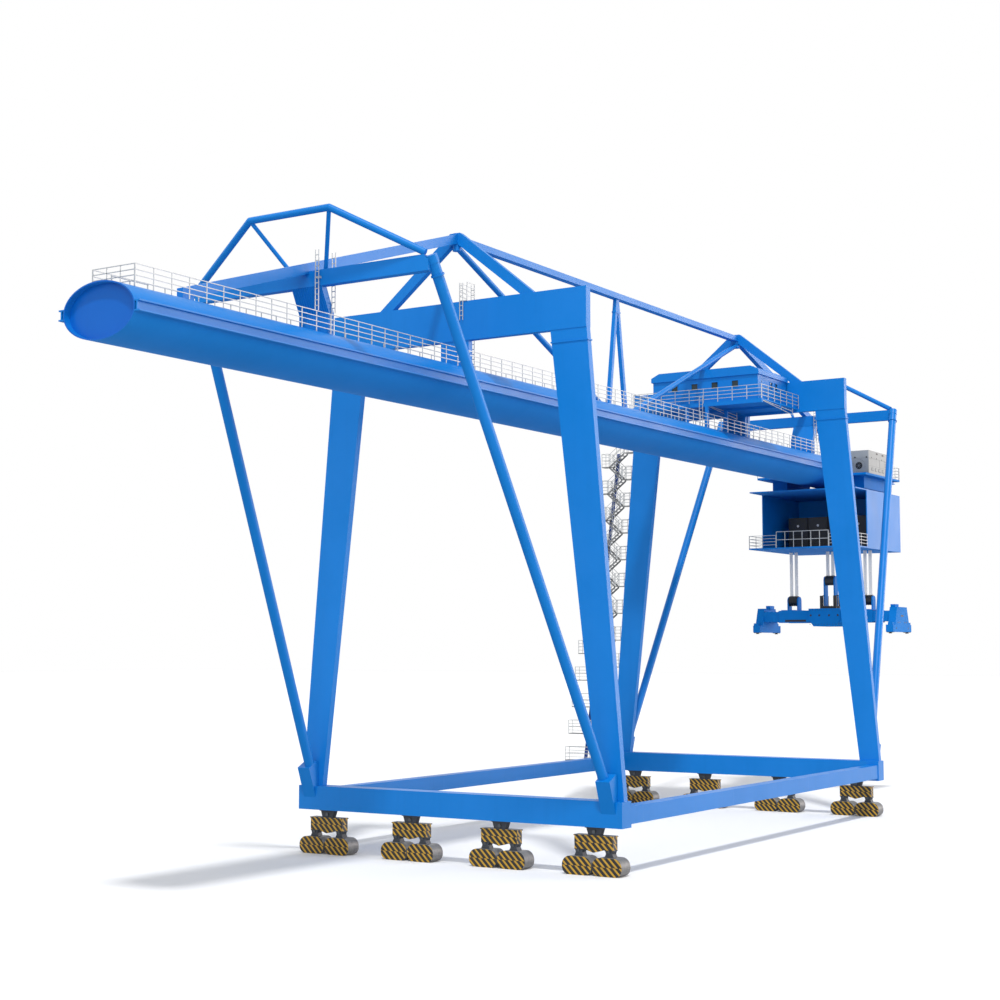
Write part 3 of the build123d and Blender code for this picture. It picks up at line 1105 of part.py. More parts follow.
def make_arms():
    at = Pos(TROLLEY_PLACE, 0, 0)
    half = SLEEVE_WIDTH / 2 - SLEEVE_PLATE - ARM_GAP
    low, high = SLEEVE_UNDERSIDE + SLEEVE_PLATE + ARM_GAP, SLEEVE_TOP - SLEEVE_PLATE - ARM_GAP
    inner, outer = GABLE_PLACE - GABLE_THICKNESS / 2, GABLE_PLACE + GABLE_THICKNESS / 2
    start = SLEEVE_HALF_LENGTH - ARM_LAP - ARM_STROKE
    foot, knee = GABLE_HALF_FOOT, GABLE_KNEE_HALF
    arm = slab_along_y([(-foot, GABLE_FOOT), (foot, GABLE_FOOT), (foot, GABLE_KNEE), (knee, GABLE_KNEE),
                        (GABLE_HALF_TOP, GABLE_TOP), (-GABLE_HALF_TOP, GABLE_TOP), (-knee, GABLE_KNEE),
                        (-foot, GABLE_KNEE)], inner, outer)
    grow = ARM_GAP - SEAT_GAP
    for x in (-SLEEVE_PLACE, SLEEVE_PLACE):
        arm = arm + block(x - half, x + half, start, inner, low, high)
        arm = arm + block(x - half - grow, x + half + grow, start, start + ARM_PAD_LENGTH, low - grow, high + grow)
    locks = {}
    names = {(-1, -1): "twistlock_front_right", (-1, 1): "twistlock_front_left", (1, -1): "twistlock_rear_right",
             (1, 1): "twistlock_rear_left"}
    for (sx, sy), name in names.items():
        x, y = sx * TWISTLOCK_HALF_SPAN, sy * GABLE_PLACE
        shank = pipe((x, y, GABLE_FOOT - TWISTLOCK_DROP), (x, y, GABLE_FOOT + TWISTLOCK_SHANK), TWISTLOCK_RADIUS)
        head = block(x - TWISTLOCK_HEAD_WIDTH / 2, x + TWISTLOCK_HEAD_WIDTH / 2, y - TWISTLOCK_HEAD_LENGTH / 2,
                     y + TWISTLOCK_HEAD_LENGTH / 2, GABLE_FOOT - TWISTLOCK_DROP, GABLE_FOOT - TWISTLOCK_DROP / 2)
        locks[name] = at * (shank + head)
        if sy > 0:
            arm = arm - pipe((x, y, GABLE_FOOT - CUT_OVERRUN), (x, y, GABLE_FOOT + TWISTLOCK_SHANK + TWISTLOCK_GAP),
                             TWISTLOCK_RADIUS + TWISTLOCK_GAP)
    return {"arm_left": at * arm, "arm_right": at * swapped_sides(arm), **locks}


def build():
    nodes = {}
    for make in (make_running_gear, make_base, make_legs, make_crossbeams, make_girder, make_outer_frames, make_hoops,
                 make_hangers, make_top, make_walkway, make_beam_access, make_stairs, make_house, make_house_platform,
                 make_trolley, make_slew_house, make_ropes, make_spreader, make_arms):
        nodes.update(make())
    return nodes


def main():
    os.makedirs("parts", exist_ok=True)
    for name, shape in build().items():
        export_step(shape, os.path.join("parts", name + ".step"))
        box = shape.bounding_box()
        print(name, len(shape.solids()), "solids", round(shape.volume), "mm3",
              [round(v) for v in (box.min.X, box.max.X, box.min.Y, box.max.Y, box.min.Z, box.max.Z)])


if __name__ == "__main__":
    main()
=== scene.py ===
"""Looks for the wide-span gantry crane: its finishes, its fine pieces, and the floor, light and camera."""
import math

import bpy
import numpy as np
from mathutils import Matrix, Vector


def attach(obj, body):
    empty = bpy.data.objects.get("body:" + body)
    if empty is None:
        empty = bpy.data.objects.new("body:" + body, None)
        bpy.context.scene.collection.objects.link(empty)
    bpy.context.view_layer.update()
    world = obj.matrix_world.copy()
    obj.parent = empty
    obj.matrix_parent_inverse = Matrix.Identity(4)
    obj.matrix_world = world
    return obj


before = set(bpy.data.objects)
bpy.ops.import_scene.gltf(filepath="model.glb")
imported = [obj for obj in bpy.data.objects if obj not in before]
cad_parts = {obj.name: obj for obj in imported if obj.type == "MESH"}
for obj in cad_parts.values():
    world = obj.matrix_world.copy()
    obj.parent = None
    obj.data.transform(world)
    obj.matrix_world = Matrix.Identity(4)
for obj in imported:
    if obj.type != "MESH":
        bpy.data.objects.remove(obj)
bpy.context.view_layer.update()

bl_info = {
    "name": "Wide-span gantry crane finishes",
    "version": (1, 0, 0),
    "blender": (4, 5, 0),
    "location": "View3D > Sidebar > Crane",
    "description": "Paints and dresses the packed gantry crane and sets its studio",
    "category": "Object",
}


# Values a user may change

class CraneFinishSettings(bpy.types.PropertyGroup):
    """Colours of the crane's finishes, as hex values, and the scale of their patterns."""

    hull_blue: bpy.props.StringProperty(
        name="Crane blue", description="Topcoat of the steelwork", default="#0276c9")
    tower_blue: bpy.props.StringProperty(
        name="Post blue", description="Topcoat of the stair tower's post", default="#0b3d8a")
    graphite: bpy.props.StringProperty(
        name="Graphite", description="Paint of the bogies' pedestals", default="#3b3f46")
    hazard_yellow: bpy.props.StringProperty(
        name="Hazard yellow", description="Light stripes on the bogies", default="#b98f26")
    hazard_black: bpy.props.StringProperty(
        name="Hazard black", description="Dark stripes on the bogies", default="#131312")
    zinc: bpy.props.StringProperty(
        name="Zinc grey", description="Galvanised railings, ladders and stairs", default="#b9bcbd")
    stripe_pitch: bpy.props.FloatProperty(
        name="Stripe pitch", description="From one hazard stripe to the next", default=0.040, min=0.01,
        max=0.2, unit="LENGTH")


class CraneDetailSettings(bpy.types.PropertyGroup):
    """Sizes of the fine pieces."""

    handrail: bpy.props.FloatProperty(
        name="Handrail", description="Radius of the stair's handrails", default=0.0022, min=0.001, max=0.01,
        unit="LENGTH")
    bolt: bpy.props.FloatProperty(
        name="Bolt", description="Radius of a hanger bolt's head", default=0.0042, min=0.001, max=0.02,
        unit="LENGTH")


class CraneStageSettings(bpy.types.PropertyGroup):
    """Light and camera."""

    key: bpy.props.FloatProperty(
        name="Key light", description="Sun high on the left front", default=1.9, min=0.0)
    sheen: bpy.props.FloatProperty(
        name="Sheen light", description="Wide low sun whose gloss veils the long faces", default=2.1, min=0.0)
    fill: bpy.props.FloatProperty(
        name="Fill light", description="Wide sun on the end faces", default=1.65, min=0.0)
    back: bpy.props.FloatProperty(
        name="Back light", description="Wide sun from behind", default=0.7, min=0.0)
    sky: bpy.props.FloatProperty(
        name="Sky", description="Strength of the surrounding light", default=0.4, min=0.0)
    lens: bpy.props.FloatProperty(
        name="Lens", description="Focal length on a 36 mm sensor", default=61.6457, min=10.0,
        subtype="DISTANCE_CAMERA")


# Nodes

def linear(code):
    """sRGB hex to linear RGBA: (c / 12.92) below 0.04045, else ((c + 0.055) / 1.055) to the power 2.4."""
    c = np.array([int(code.lstrip("#")[i:i + 2], 16) for i in (0, 2, 4)]) / 255
    rgb = np.where(c <= 0.04045, c / 12.92, ((c + 0.055) / 1.055) ** 2.4)
    return (*rgb.tolist(), 1.0)


def shaded(colour, share, lift=0.0):
    """A colour times a share plus a lift, kept within 1."""
    return tuple(min(1.0, c * share + lift) for c in colour[:3]) + (1.0,)


def add(tree, kind, settings=None):
    """Adds a node. A setting is a property, a socket's value, or another node's output that feeds it."""
    node = tree.nodes.new(kind)
    for key, value in (settings or {}).items():
        if isinstance(key, str) and hasattr(node, key):
            setattr(node, key, value)
        elif isinstance(value, bpy.types.NodeSocket):
            tree.links.new(value, node.inputs[key])
        elif value is not None:
            node.inputs[key].default_value = value
    return node


def math_node(tree, operation, first, second=None, third=None):
    return add(tree, "ShaderNodeMath", {"operation": operation, 0: first, 1: second, 2: third}).outputs[0]


def mixed(tree, share, first, second, blend="MIX"):
    """The first colour where share is 0, the second laid over it where share is 1."""
    return add(tree, "ShaderNodeMix", {"data_type": "RGBA", "blend_type": blend, 0: share, 6: first,
                                       7: second}).outputs[2]


def mapped(tree, value, low, high, start=0.0, end=1.0):
    """From low at start to high at end, and level beyond."""
    return add(tree, "ShaderNodeMapRange", {"From Min": start, "From Max": end, "To Min": low, "To Max": high,
                                            "Value": value}).outputs[0]


def ramp(tree, share, first, second, start=0.0, end=1.0):
    """From the first colour at start to the second at end."""
    node = add(tree, "ShaderNodeValToRGB", {"Fac": share})
    low, high = node.color_ramp.elements
    low.position, low.color = start, first
    high.position, high.color = end, second
    return node.outputs["Color"]


def noise(tree, where, scale, detail, roughness=None):
    return add(tree, "ShaderNodeTexNoise", {"Scale": scale, "Detail": detail, "Roughness": roughness,
                                            "Vector": where}).outputs["Fac"]


def bump(tree, strength, depth, height, normal=None):
    return add(tree, "ShaderNodeBump", {"Strength": strength, "Distance": depth, "Height": height,
                                        "Normal": normal}).outputs[0]


def axes_of(tree, vector):
    """A vector's X, Y and Z."""
    return add(tree, "ShaderNodeSeparateXYZ", {"Vector": vector}).outputs


def facing(tree):
    """X, Y and Z of the direction in which the surface faces."""
    return axes_of(tree, add(tree, "ShaderNodeNewGeometry").outputs["Normal"])


def compared(tree, value, operation, limit):
    """1 where the size of value is GREATER_THAN or LESS_THAN limit, else 0."""
    return math_node(tree, operation, math_node(tree, "ABSOLUTE", value), limit)


# Materials

def start_material(name, **principled):
    material = bpy.data.materials.new(name)
    material.use_nodes = True
    tree = material.node_tree
    tree.nodes.clear()
    shader = add(tree, "ShaderNodeBsdfPrincipled", principled)
    add(tree, "ShaderNodeOutputMaterial", {"Surface": shader.outputs[0]})
    where = add(tree, "ShaderNodeTexCoord").outputs["Object"]
    return material, tree, shader, where


def lay(tree, shader, **sources):
    """Links outputs to the shader's sockets. An underscore in a name stands for a blank."""
    for name, source in sources.items():
        tree.links.new(source, shader.inputs[name.replace("_", " ")])


def weather(tree, where, colour, mottle_mm, spread, streak=0.0):
    """Colour broken by large soft mottling, and by rain streaks that are long in Z."""
    mottle = noise(tree, where, 1000.0 / mottle_mm, 4.0, 0.6)
    lift, start, end = 0.006, 0.3, 0.7
    out = ramp(tree, mottle, shaded(colour, 1 - spread), shaded(colour, 1 + spread, lift), start, end)
    if streak:
        streaks_per_metre, wet_grey, dry, wet = (22.0, 22.0, 1.1), (0.55, 0.58, 0.62, 1), 0.52, 0.78
        squeezed = add(tree, "ShaderNodeMapping", {"Scale": streaks_per_metre, "Vector": where}).outputs[0]
        rain = noise(tree, squeezed, 1.0, 3.0, 0.55)
        out = mixed(tree, mapped(tree, rain, 0.0, streak, dry, wet), out, wet_grey, "MULTIPLY")
    return out


def gloss_paint(name, code, mottle_mm=700.0, spread=0.05, streak=0.1, rough=0.36, gloss=0.25):
    """Two-pack polyurethane topcoat, airless sprayed on blasted plate: even colour, soft gloss where rain
    washes it and dull below, faint orange peel and faint rain streaks."""
    peel_mm, wave_mm, peel_depth, wave_share = 5.0, 260.0, 0.0006, 6.0
    washed, sheltered, chalked = -0.05, -0.45, 0.5
    material, tree, shader, where = start_material(name, Roughness=rough, IOR=1.5)
    shader.inputs["Specular IOR Level"].default_value = gloss
    peel, wave = noise(tree, where, 1000.0 / peel_mm, 2.0), noise(tree, where, 1000.0 / wave_mm, 1.0)
    height = math_node(tree, "MULTIPLY_ADD", wave, wave_share, peel)
    uneven = mapped(tree, wave, rough - 0.06, rough + 0.1)
    chalk = mapped(tree, facing(tree)["Z"], chalked, 0.0, sheltered, washed)
    lay(tree, shader, Base_Color=weather(tree, where, linear(code), mottle_mm, spread, streak),
        Normal=bump(tree, 0.12, peel_depth, height), Roughness=math_node(tree, "ADD", uneven, chalk))
    return material


def seamed_paint(name, code, seam_mm, bulkhead=0.0):
    """Sprayed topcoat over butt-welded plate: a faint raised weld every seam_mm along X. Beyond bulkhead, the
    end walls are painted darker: painted shade standing for the shade inside the tube's recessed ends."""
    weld_mm, weld_depth, upright, recess_shade_tint = 3.2, 0.0012, 0.9, (0.4, 0.62, 0.84, 1)
    material = gloss_paint(name, code)
    tree = material.node_tree
    shader = next(n for n in tree.nodes if n.type == "BSDF_PRINCIPLED")
    x = axes_of(tree, next(n for n in tree.nodes if n.type == "TEX_COORD").outputs["Object"])["X"]
    colour, peel = (shader.inputs[name].links[0].from_socket for name in ("Base Color", "Normal"))
    part = math_node(tree, "FRACT", math_node(tree, "MULTIPLY", x, 1000.0 / seam_mm))
    off = math_node(tree, "ABSOLUTE", math_node(tree, "SUBTRACT", part, 0.5))
    height = mapped(tree, off, 1.0, 0.0, 0.0, weld_mm / seam_mm)
    lay(tree, shader, Normal=bump(tree, 0.5, weld_depth, height, peel))
    if bulkhead:
        # Painted shade: beyond bulkhead the end walls are multiplied by a darker blue, standing for the shade
        # in the tube's recessed ends.
        wall = math_node(tree, "MULTIPLY", compared(tree, x, "GREATER_THAN", bulkhead),
                         compared(tree, facing(tree)["X"], "GREATER_THAN", upright))
        lay(tree, shader, Base_Color=mixed(tree, wall, colour, recess_shade_tint, "MULTIPLY"))
    return material


def hazard_paint(name, all_round, shift_height):
    """Hazard-striped enamel, rolled on by hand: stripes lean one way on the end faces and the other way on
    the long ones, step half a pitch at shift_height, and leave worn grey steel on the rims."""
    upright, steepness, yellow_share, grit_mm, grit_depth = 0.9, 0.3, 0.39, 4.0, 0.0005
    settings = bpy.context.scene.crane_finish
    material, tree, shader, where = start_material(name, Roughness=0.42)
    at, normal = axes_of(tree, where), facing(tree)
    side = compared(tree, normal["X"], "GREATER_THAN", upright)
    steep = compared(tree, normal["Z"], "LESS_THAN", steepness)
    along_y, along_x = math_node(tree, "SUBTRACT", at["Z"], at["Y"]), math_node(tree, "ADD", at["Z"], at["X"])
    slant = add(tree, "ShaderNodeMix", {"data_type": "FLOAT", 0: side, 2: along_x, 3: along_y}).outputs[0]
    turns = math_node(tree, "DIVIDE", slant, settings.stripe_pitch)
    upper = math_node(tree, "GREATER_THAN", at["Z"], shift_height)
    turns = math_node(tree, "MULTIPLY_ADD", upper, 0.5, turns)
    band = math_node(tree, "GREATER_THAN", math_node(tree, "FRACT", turns), yellow_share)
    yellow = weather(tree, where, linear(settings.hazard_yellow), 40.0, 0.12)
    black = weather(tree, where, linear(settings.hazard_black), 30.0, 0.4)
    rim = weather(tree, where, linear("#6d6d6d"), 25.0, 0.25, 0.3)
    colour = mixed(tree, steep if all_round else side, rim, mixed(tree, band, yellow, black))
    grit = noise(tree, where, 1000.0 / grit_mm, 3.0)
    lay(tree, shader, Base_Color=colour, Normal=bump(tree, 0.2, grit_depth, grit))
    return material


def zinc_metal(name, code):
    """Hot-dip galvanised steel, weathered: dull grey with soft spangle a few millimetres wide."""
    spangle_mm, dark, light = 9.0, 0.86, 1.1
    material, tree, shader, where = start_material(name, Metallic=0.35, Roughness=0.5)
    cells = add(tree, "ShaderNodeTexVoronoi", {"Scale": 1000.0 / spangle_mm, "Vector": where})
    tint = add(tree, "ShaderNodeSeparateColor", {"Color": cells.outputs["Color"]}).outputs["Red"]
    base = linear(code)
    lay(tree, shader, Base_Color=ramp(tree, tint, shaded(base, dark), shaded(base, light)),
        Roughness=mapped(tree, tint, 0.42, 0.6))
    return material


def powder_coat(name, code, spread=0.06, rough=0.5):
    """Powder-coated sheet, oven cured: even colour and a fine texture a few tenths of a millimetre high."""
    mottle_mm, grain_mm, grain_depth, streak = 160.0, 3.0, 0.0003, 0.25
    material, tree, shader, where = start_material(name, Roughness=rough)
    lay(tree, shader, Base_Color=weather(tree, where, linear(code), mottle_mm, spread, streak),
        Normal=bump(tree, 0.15, grain_depth, noise(tree, where, 1000.0 / grain_mm, 2.0)))
    return material


def machined_metal(name, code):
    """Turned and milled steel under a film of oil: fine marks that catch the light."""
    mark_mm, dark = 2.5, 0.7
    material, tree, shader, where = start_material(name, Metallic=1.0, Roughness=0.34)
    marks = noise(tree, where, 1000.0 / mark_mm, 3.0)
    base = linear(code)
    lay(tree, shader, Base_Color=ramp(tree, marks, shaded(base, dark), base),
        Roughness=mapped(tree, marks, 0.25, 0.45))
    return material


def laid_rope(name, code):
    """Galvanised wire rope, drawn bright by the light: strands wind round it every few diameters."""
    climb_mm, strand_mm, groove, groove_share, groove_depth = 14.0, 9.0, 0.88, 0.3, 0.0006
    material, tree, shader, where = start_material(name, Roughness=0.5)
    at = axes_of(tree, where)
    climb = math_node(tree, "MULTIPLY", at["Z"], 1000.0 / climb_mm)
    turns = math_node(tree, "MULTIPLY_ADD", at["Y"], 1000.0 / strand_mm, climb)
    strand = math_node(tree, "PINGPONG", math_node(tree, "FRACT", turns), 0.5)
    base = linear(code)
    lay(tree, shader, Base_Color=ramp(tree, strand, shaded(base, groove), base, 0.0, groove_share),
        Normal=bump(tree, 0.35, groove_depth, strand))
    return material


def dark_glass(name, code):
    """Tinted float glass, polished both sides: dark with a clear reflection."""
    mottle_mm, spread = 300.0, 0.1
    material, tree, shader, where = start_material(name, Roughness=0.06, IOR=1.5)
    shader.inputs["Specular IOR Level"].default_value = 0.3
    lay(tree, shader, Base_Color=weather(tree, where, linear(code), mottle_mm, spread))
    return material


def paint_nodes(material, *names):
    for name in names:
        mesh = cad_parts[name].data
        mesh.materials.clear()
        mesh.materials.append(material)


# Surfaces as whole arrays

SLANTED = np.array([0.31, 0.23, 0.92])  # no bar runs along it


def piece(name, points, faces, material, body):
    """A mesh of points (n, 3) and faces given as index lists, riding on a body."""
    mesh = bpy.data.meshes.new(name)
    mesh.from_pydata(np.asarray(points, float).reshape(-1, 3).tolist(), [], faces)
    mesh.update()
    obj = bpy.data.objects.new(name, mesh)
    bpy.context.scene.collection.objects.link(obj)
    mesh.materials.append(material)
    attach(obj, body)


def boxes(lows, highs):
    """Points low + share * (high - low) for the eight corner shares of each box, with six outward faces."""
    lows, highs = np.atleast_2d(lows).astype(float), np.atleast_2d(highs).astype(float)
    shares = np.array([[0, 0, 0], [1, 0, 0], [1, 1, 0], [0, 1, 0],
                       [0, 0, 1], [1, 0, 1], [1, 1, 1], [0, 1, 1]])
    points = lows[:, None, :] + shares[None] * (highs - lows)[:, None, :]
    quads = np.array([[0, 3, 2, 1], [4, 5, 6, 7], [0, 1, 5, 4], [1, 2, 6, 5], [2, 3, 7, 6], [3, 0, 4, 7]])
    faces = quads[None] + 8 * np.arange(len(lows))[:, None, None]
    return points.reshape(-1, 3), faces.reshape(-1, 4).tolist()


def across(axes, hint):
    """Two unit vectors square to each axis, the first also square to hint."""
    first = np.cross(axes, hint)
    first /= np.linalg.norm(first, axis=1, keepdims=True)
    return first, np.cross(axes, first)


def prisms(starts, ends, radius, sides):
    """start + t * (end - start) + radius * (cos a * u + sin a * v), a in equal steps; closed by two caps."""
    starts, ends = np.atleast_2d(starts).astype(float), np.atleast_2d(ends).astype(float)
    axes = (ends - starts) / np.linalg.norm(ends - starts, axis=1, keepdims=True)
    u, v = across(axes, SLANTED)
    a = 2 * np.pi * (np.arange(sides) + 0.5) / sides
    ring = radius * (np.cos(a)[None, :, None] * u[:, None] + np.sin(a)[None, :, None] * v[:, None])
    points = np.stack([starts[:, None] + ring, ends[:, None] + ring], axis=1)
    k = np.arange(sides)
    quads = np.stack([k, (k + 1) % sides, sides + (k + 1) % sides, sides + k], axis=1)
    step = 2 * sides * np.arange(len(starts))
    faces = (quads[None] + step[:, None, None]).reshape(-1, 4).tolist()
    faces += (np.arange(sides)[::-1][None] + step[:, None]).tolist()
    faces += (np.arange(sides, 2 * sides)[None] + step[:, None]).tolist()
    return points.reshape(-1, 3), faces


def turned(centre, profile, axis, segments):
    """Profile (radius, height) turned about an axis: centre + h * axis + r * (cos a * u + sin a * v)."""
    profile = np.asarray(profile, float)
    axis = np.array([axis], float)
    u, v = across(axis, SLANTED[[0, 2, 1]])
    a = 2 * np.pi * np.arange(segments) / segments
    ring = np.cos(a)[:, None] * u + np.sin(a)[:, None] * v
    points = np.asarray(centre, float) + profile[:, None, :1] * ring[None] + profile[:, None, 1:] * axis
    rows = len(profile)
    i, j = np.meshgrid(np.arange(rows - 1), np.arange(segments), indexing="ij")
    n, near, far = (j + 1) % segments, i * segments, (i + 1) * segments
    quads = np.stack([near + j, near + n, far + n, far + j], axis=-1)
    faces = quads.reshape(-1, 4).tolist()
    faces += [np.arange(segments)[::-1].tolist(), ((rows - 1) * segments + np.arange(segments)).tolist()]
    return points.reshape(-1, 3), faces


def joined(*parts):
    """Several (points, faces) pairs as one."""
    points, faces, shift = [], [], 0
    for these, quads in parts:
        points.append(np.asarray(these).reshape(-1, 3))
        faces += [[k + shift for k in face] for face in quads]
        shift += len(points[-1])
    return np.concatenate(points), faces


# Places on the crane

ENDS = ((1, 1, 1), (-1, 1, 1))
SIDES = ((1, 1, 1), (1, -1, 1))
CORNERS = ((1, 1, 1), (-1, 1, 1), (1, -1, 1), (-1, -1, 1))
HALF_GAUGE = 2.0
GIRDER_AXIS_HEIGHT = 2.7885
GIRDER_HALF_WIDTH = 0.227
GIRDER_HALF_DEPTH = 0.1376
STAIR_FLIGHTS = 23


def reach(name):
    """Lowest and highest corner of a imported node."""
    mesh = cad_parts[name].data
    places = np.empty(3 * len(mesh.vertices), np.float32)
    mesh.vertices.foreach_get("co", places)
    places = places.reshape(-1, 3).astype(float)
    return places.min(axis=0), places.max(axis=0)


def spots(x, y, z):
    """Points from rows of coordinates, where one number stands for a whole row."""
    return np.stack(np.broadcast_arrays(np.asarray(x, float), y, z), axis=-1).reshape(-1, 3)


def mirrored(points, signs):
    """Each point times each row of signs."""
    return (np.asarray(points, float).reshape(1, -1, 3) * np.asarray(signs, float)[:, None]).reshape(-1, 3)


def mirrored_boxes(lows, highs, signs):
    a, b = mirrored(lows, signs), mirrored(highs, signs)
    return boxes(np.minimum(a, b), np.maximum(a, b))


def mirrored_bars(starts, ends, radius, signs, sides=6):
    return prisms(mirrored(starts, signs), mirrored(ends, signs), radius, sides)


def girder_crown(y):
    """Top of the elliptic tube: axis height + half depth * sqrt(1 - (y / half width)^2)."""
    return GIRDER_AXIS_HEIGHT + GIRDER_HALF_DEPTH * np.sqrt(1 - (np.asarray(y) / GIRDER_HALF_WIDTH) ** 2)


def stair_places():
    """Height, inner and outer edge of each landing: odd landings stand against the leg's leaning face, even
    ones lie out beyond the flight and past the leaning post."""
    leg_face, leg_foot, leg_lean = 1.1293, 0.418, 0.2222 / 2.672
    plate, length, run, reach_at_foot, reach_at_head = 0.007, 0.086, 0.130, 0.450, 0.280
    low, high = reach("stair_landings")
    step = np.arange(STAIR_FLIGHTS + 1)
    even, share = step % 2 == 0, step / STAIR_FLIGHTS
    height = (low[2] + plate) * (1 - share) + high[2] * share
    face = leg_face - leg_lean * (height - leg_foot)
    inner = face + np.where(even, length + run, 0.0)
    outer = face + np.where(even, reach_at_foot * (1 - share) + reach_at_head * share, length)
    return height, inner, outer


def ring_places(centre, axis, radius, count):
    """centre + radius * (cos a * u + sin a * v), a in equal steps round the axis."""
    u, v = across(np.array([axis], float), SLANTED)
    a = 2 * np.pi * np.arange(count) / count
    return np.asarray(centre, float) + radius * (np.cos(a)[:, None] * u + np.sin(a)[:, None] * v)


def hex_heads(places, axis, length, radius):
    """A hexagonal prism through each place, half its length to either side along the axis."""
    axis = np.asarray(axis, float) / np.linalg.norm(axis)
    places = np.atleast_2d(places)
    return prisms(places - axis * length / 2, places + axis * length / 2, radius, 6)


def discs(places, radius, height, axis, segments, draw=0.0):
    """A low round cap on each place, whose top is narrower by draw."""
    inner = 0.0008
    profile = [(inner, 0.0), (radius, 0.0), (radius - draw, height), (inner, height)]
    return [turned(place, profile, axis, segments) for place in np.atleast_2d(places)]


# Operators

class PaintCrane(bpy.types.Operator):
    """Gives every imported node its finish"""

    bl_idname = "crane.paint"
    bl_label = "Paint the steelwork"

    def execute(self, context):
        s = context.scene.crane_finish
        girder_end = reach("girder_tube")[1][0] - 0.048
        plate = seamed_paint("Sprayed blue topcoat on welded plate", s.hull_blue, 1200.0)
        paint_nodes(plate, "runway_brackets", "sill_beams", "tie_beams", "top_tie")
        # The rolled tube's end walls carry painted shade.
        paint_nodes(seamed_paint("Sprayed blue topcoat on rolled tube", s.hull_blue, 600.0, girder_end),
                    "girder_tube")
        paint_nodes(gloss_paint("Sprayed blue topcoat", s.hull_blue), "portal_legs", "crossbeams",
                    "outer_beams", "corner_braces", "brace_shoes", "outer_hoops", "girder_hangers",
                    "apex_frames", "outer_ties", "inner_ties", "middle_struts", "house_walls", "house_door",
                    "house_roof", "house_platform", "slew_deck", "slew_roof", "slew_walls")
        satin = gloss_paint("Satin blue topcoat", s.hull_blue, 300.0, 0.08, 0.2, 0.55, 0.1)
        paint_nodes(satin, "trolley_frame", "spreader_frame", "arm_left", "arm_right", "sheave_cheeks")
        paint_nodes(hazard_paint("Hazard-striped enamel on the trucks", False, 0.051), "truck_housings")
        paint_nodes(hazard_paint("Hazard-striped enamel on the beams", True, 0.178), "equaliser_beams")
        paint_nodes(gloss_paint("Graphite enamel", s.graphite, 120.0, 0.15), "bogie_pedestals", "truck_necks")
        paint_nodes(gloss_paint("Dark blue enamel", s.tower_blue, 300.0, 0.1), "stair_post")
        paint_nodes(zinc_metal("Weathered galvanised steel", s.zinc), "walkway_railings", "beam_ladders",
                    "beam_landings", "beam_railings", "stair_railings", "house_railings", "trolley_railings",
                    "slew_railings", "winch_guard")
        # The stair's plate is a darker copy of the zinc: partly duller plate, partly painted shade for the
        # shadows on and under its flights.
        paint_nodes(zinc_metal("Dull galvanised plate with painted shade", "#7d7f80"), "stair_landings", "stair_stringers",
                    "stair_treads")
        paint_nodes(dark_glass("Tinted float glass", "#22343b"), "house_windows")
        paint_nodes(powder_coat("Light grey powder coat", "#9a9d9d"), "trolley_cabinet")
        paint_nodes(powder_coat("Cast iron under black enamel", "#232629", 0.15), "sheaves")
        paint_nodes(powder_coat("Black powder coat", "#1b1d20", 0.2), "winch_housings", "spreader_drive")
        paint_nodes(machined_metal("Oiled machined steel", "#5b5f63"), "trolley_wheels")
        paint_nodes(powder_coat("Forged steel under black paint", "#17191c", 0.3), "twistlock_front_right",
                    "twistlock_front_left", "twistlock_rear_right", "twistlock_rear_left")
        paint_nodes(laid_rope("Galvanised wire rope", "#f8f8f6"), "outer_ropes", "centre_ropes")
        return {"FINISHED"}


class FitStairHandrails(bpy.types.Operator):
    """Adds the sloping handrails of the stair's flights and the outer rails of its landings"""

    bl_idname = "crane.stair_handrails"
    bl_label = "Fit the stair's handrails"

    def execute(self, context):
        radius = context.scene.crane_detail.handrail
        inset, edge, sunk = 0.0025, 0.003, 0.002
        flight_rails, landing_rails = (0.052, 0.100), (0.054, 0.106)
        low, high = reach("stair_landings")
        height, inner, outer = stair_places()
        even = np.arange(STAIR_FLIGHTS + 1) % 2 == 0
        starts = spots(0.0, np.where(even, inner, outer)[:-1], height[:-1])
        rise = spots(0.0, np.where(even, inner, outer)[1:], height[1:]) - starts
        sides = spots([low[0] + inset, high[0] - inset], 0.0, 0.0)

        def on_flight(share, lift):
            return ((starts + share * rise + [0, 0, lift])[None] + sides[:, None]).reshape(-1, 3)

        def on_landing(y, lift, x=high[0] - inset):
            return spots(x, y, height + lift)

        first, last = inner + edge, outer - edge
        far = np.where(even, last, first)
        bars = [(on_flight(0.0, lift), on_flight(1.0, lift)) for lift in flight_rails]
        bars += [(on_flight(share, -sunk), on_flight(share, flight_rails[1])) for share in (0.06, 0.5, 0.94)]
        bars += [(on_landing(first, lift), on_landing(last, lift)) for lift in landing_rails]
        bars += [(on_landing(y, 0.0), on_landing(y, landing_rails[1])) for y in (first, last)]
        bars += [(on_landing(far, lift, low[0] + radius), on_landing(far, lift)) for lift in landing_rails]
        rails = prisms(np.concatenate([a for a, b in bars]), np.concatenate([b for a, b in bars]), radius, 6)
        piece("stair_handrails", *rails, bpy.data.materials["Weathered galvanised steel"], "gantry")
        return {"FINISHED"}


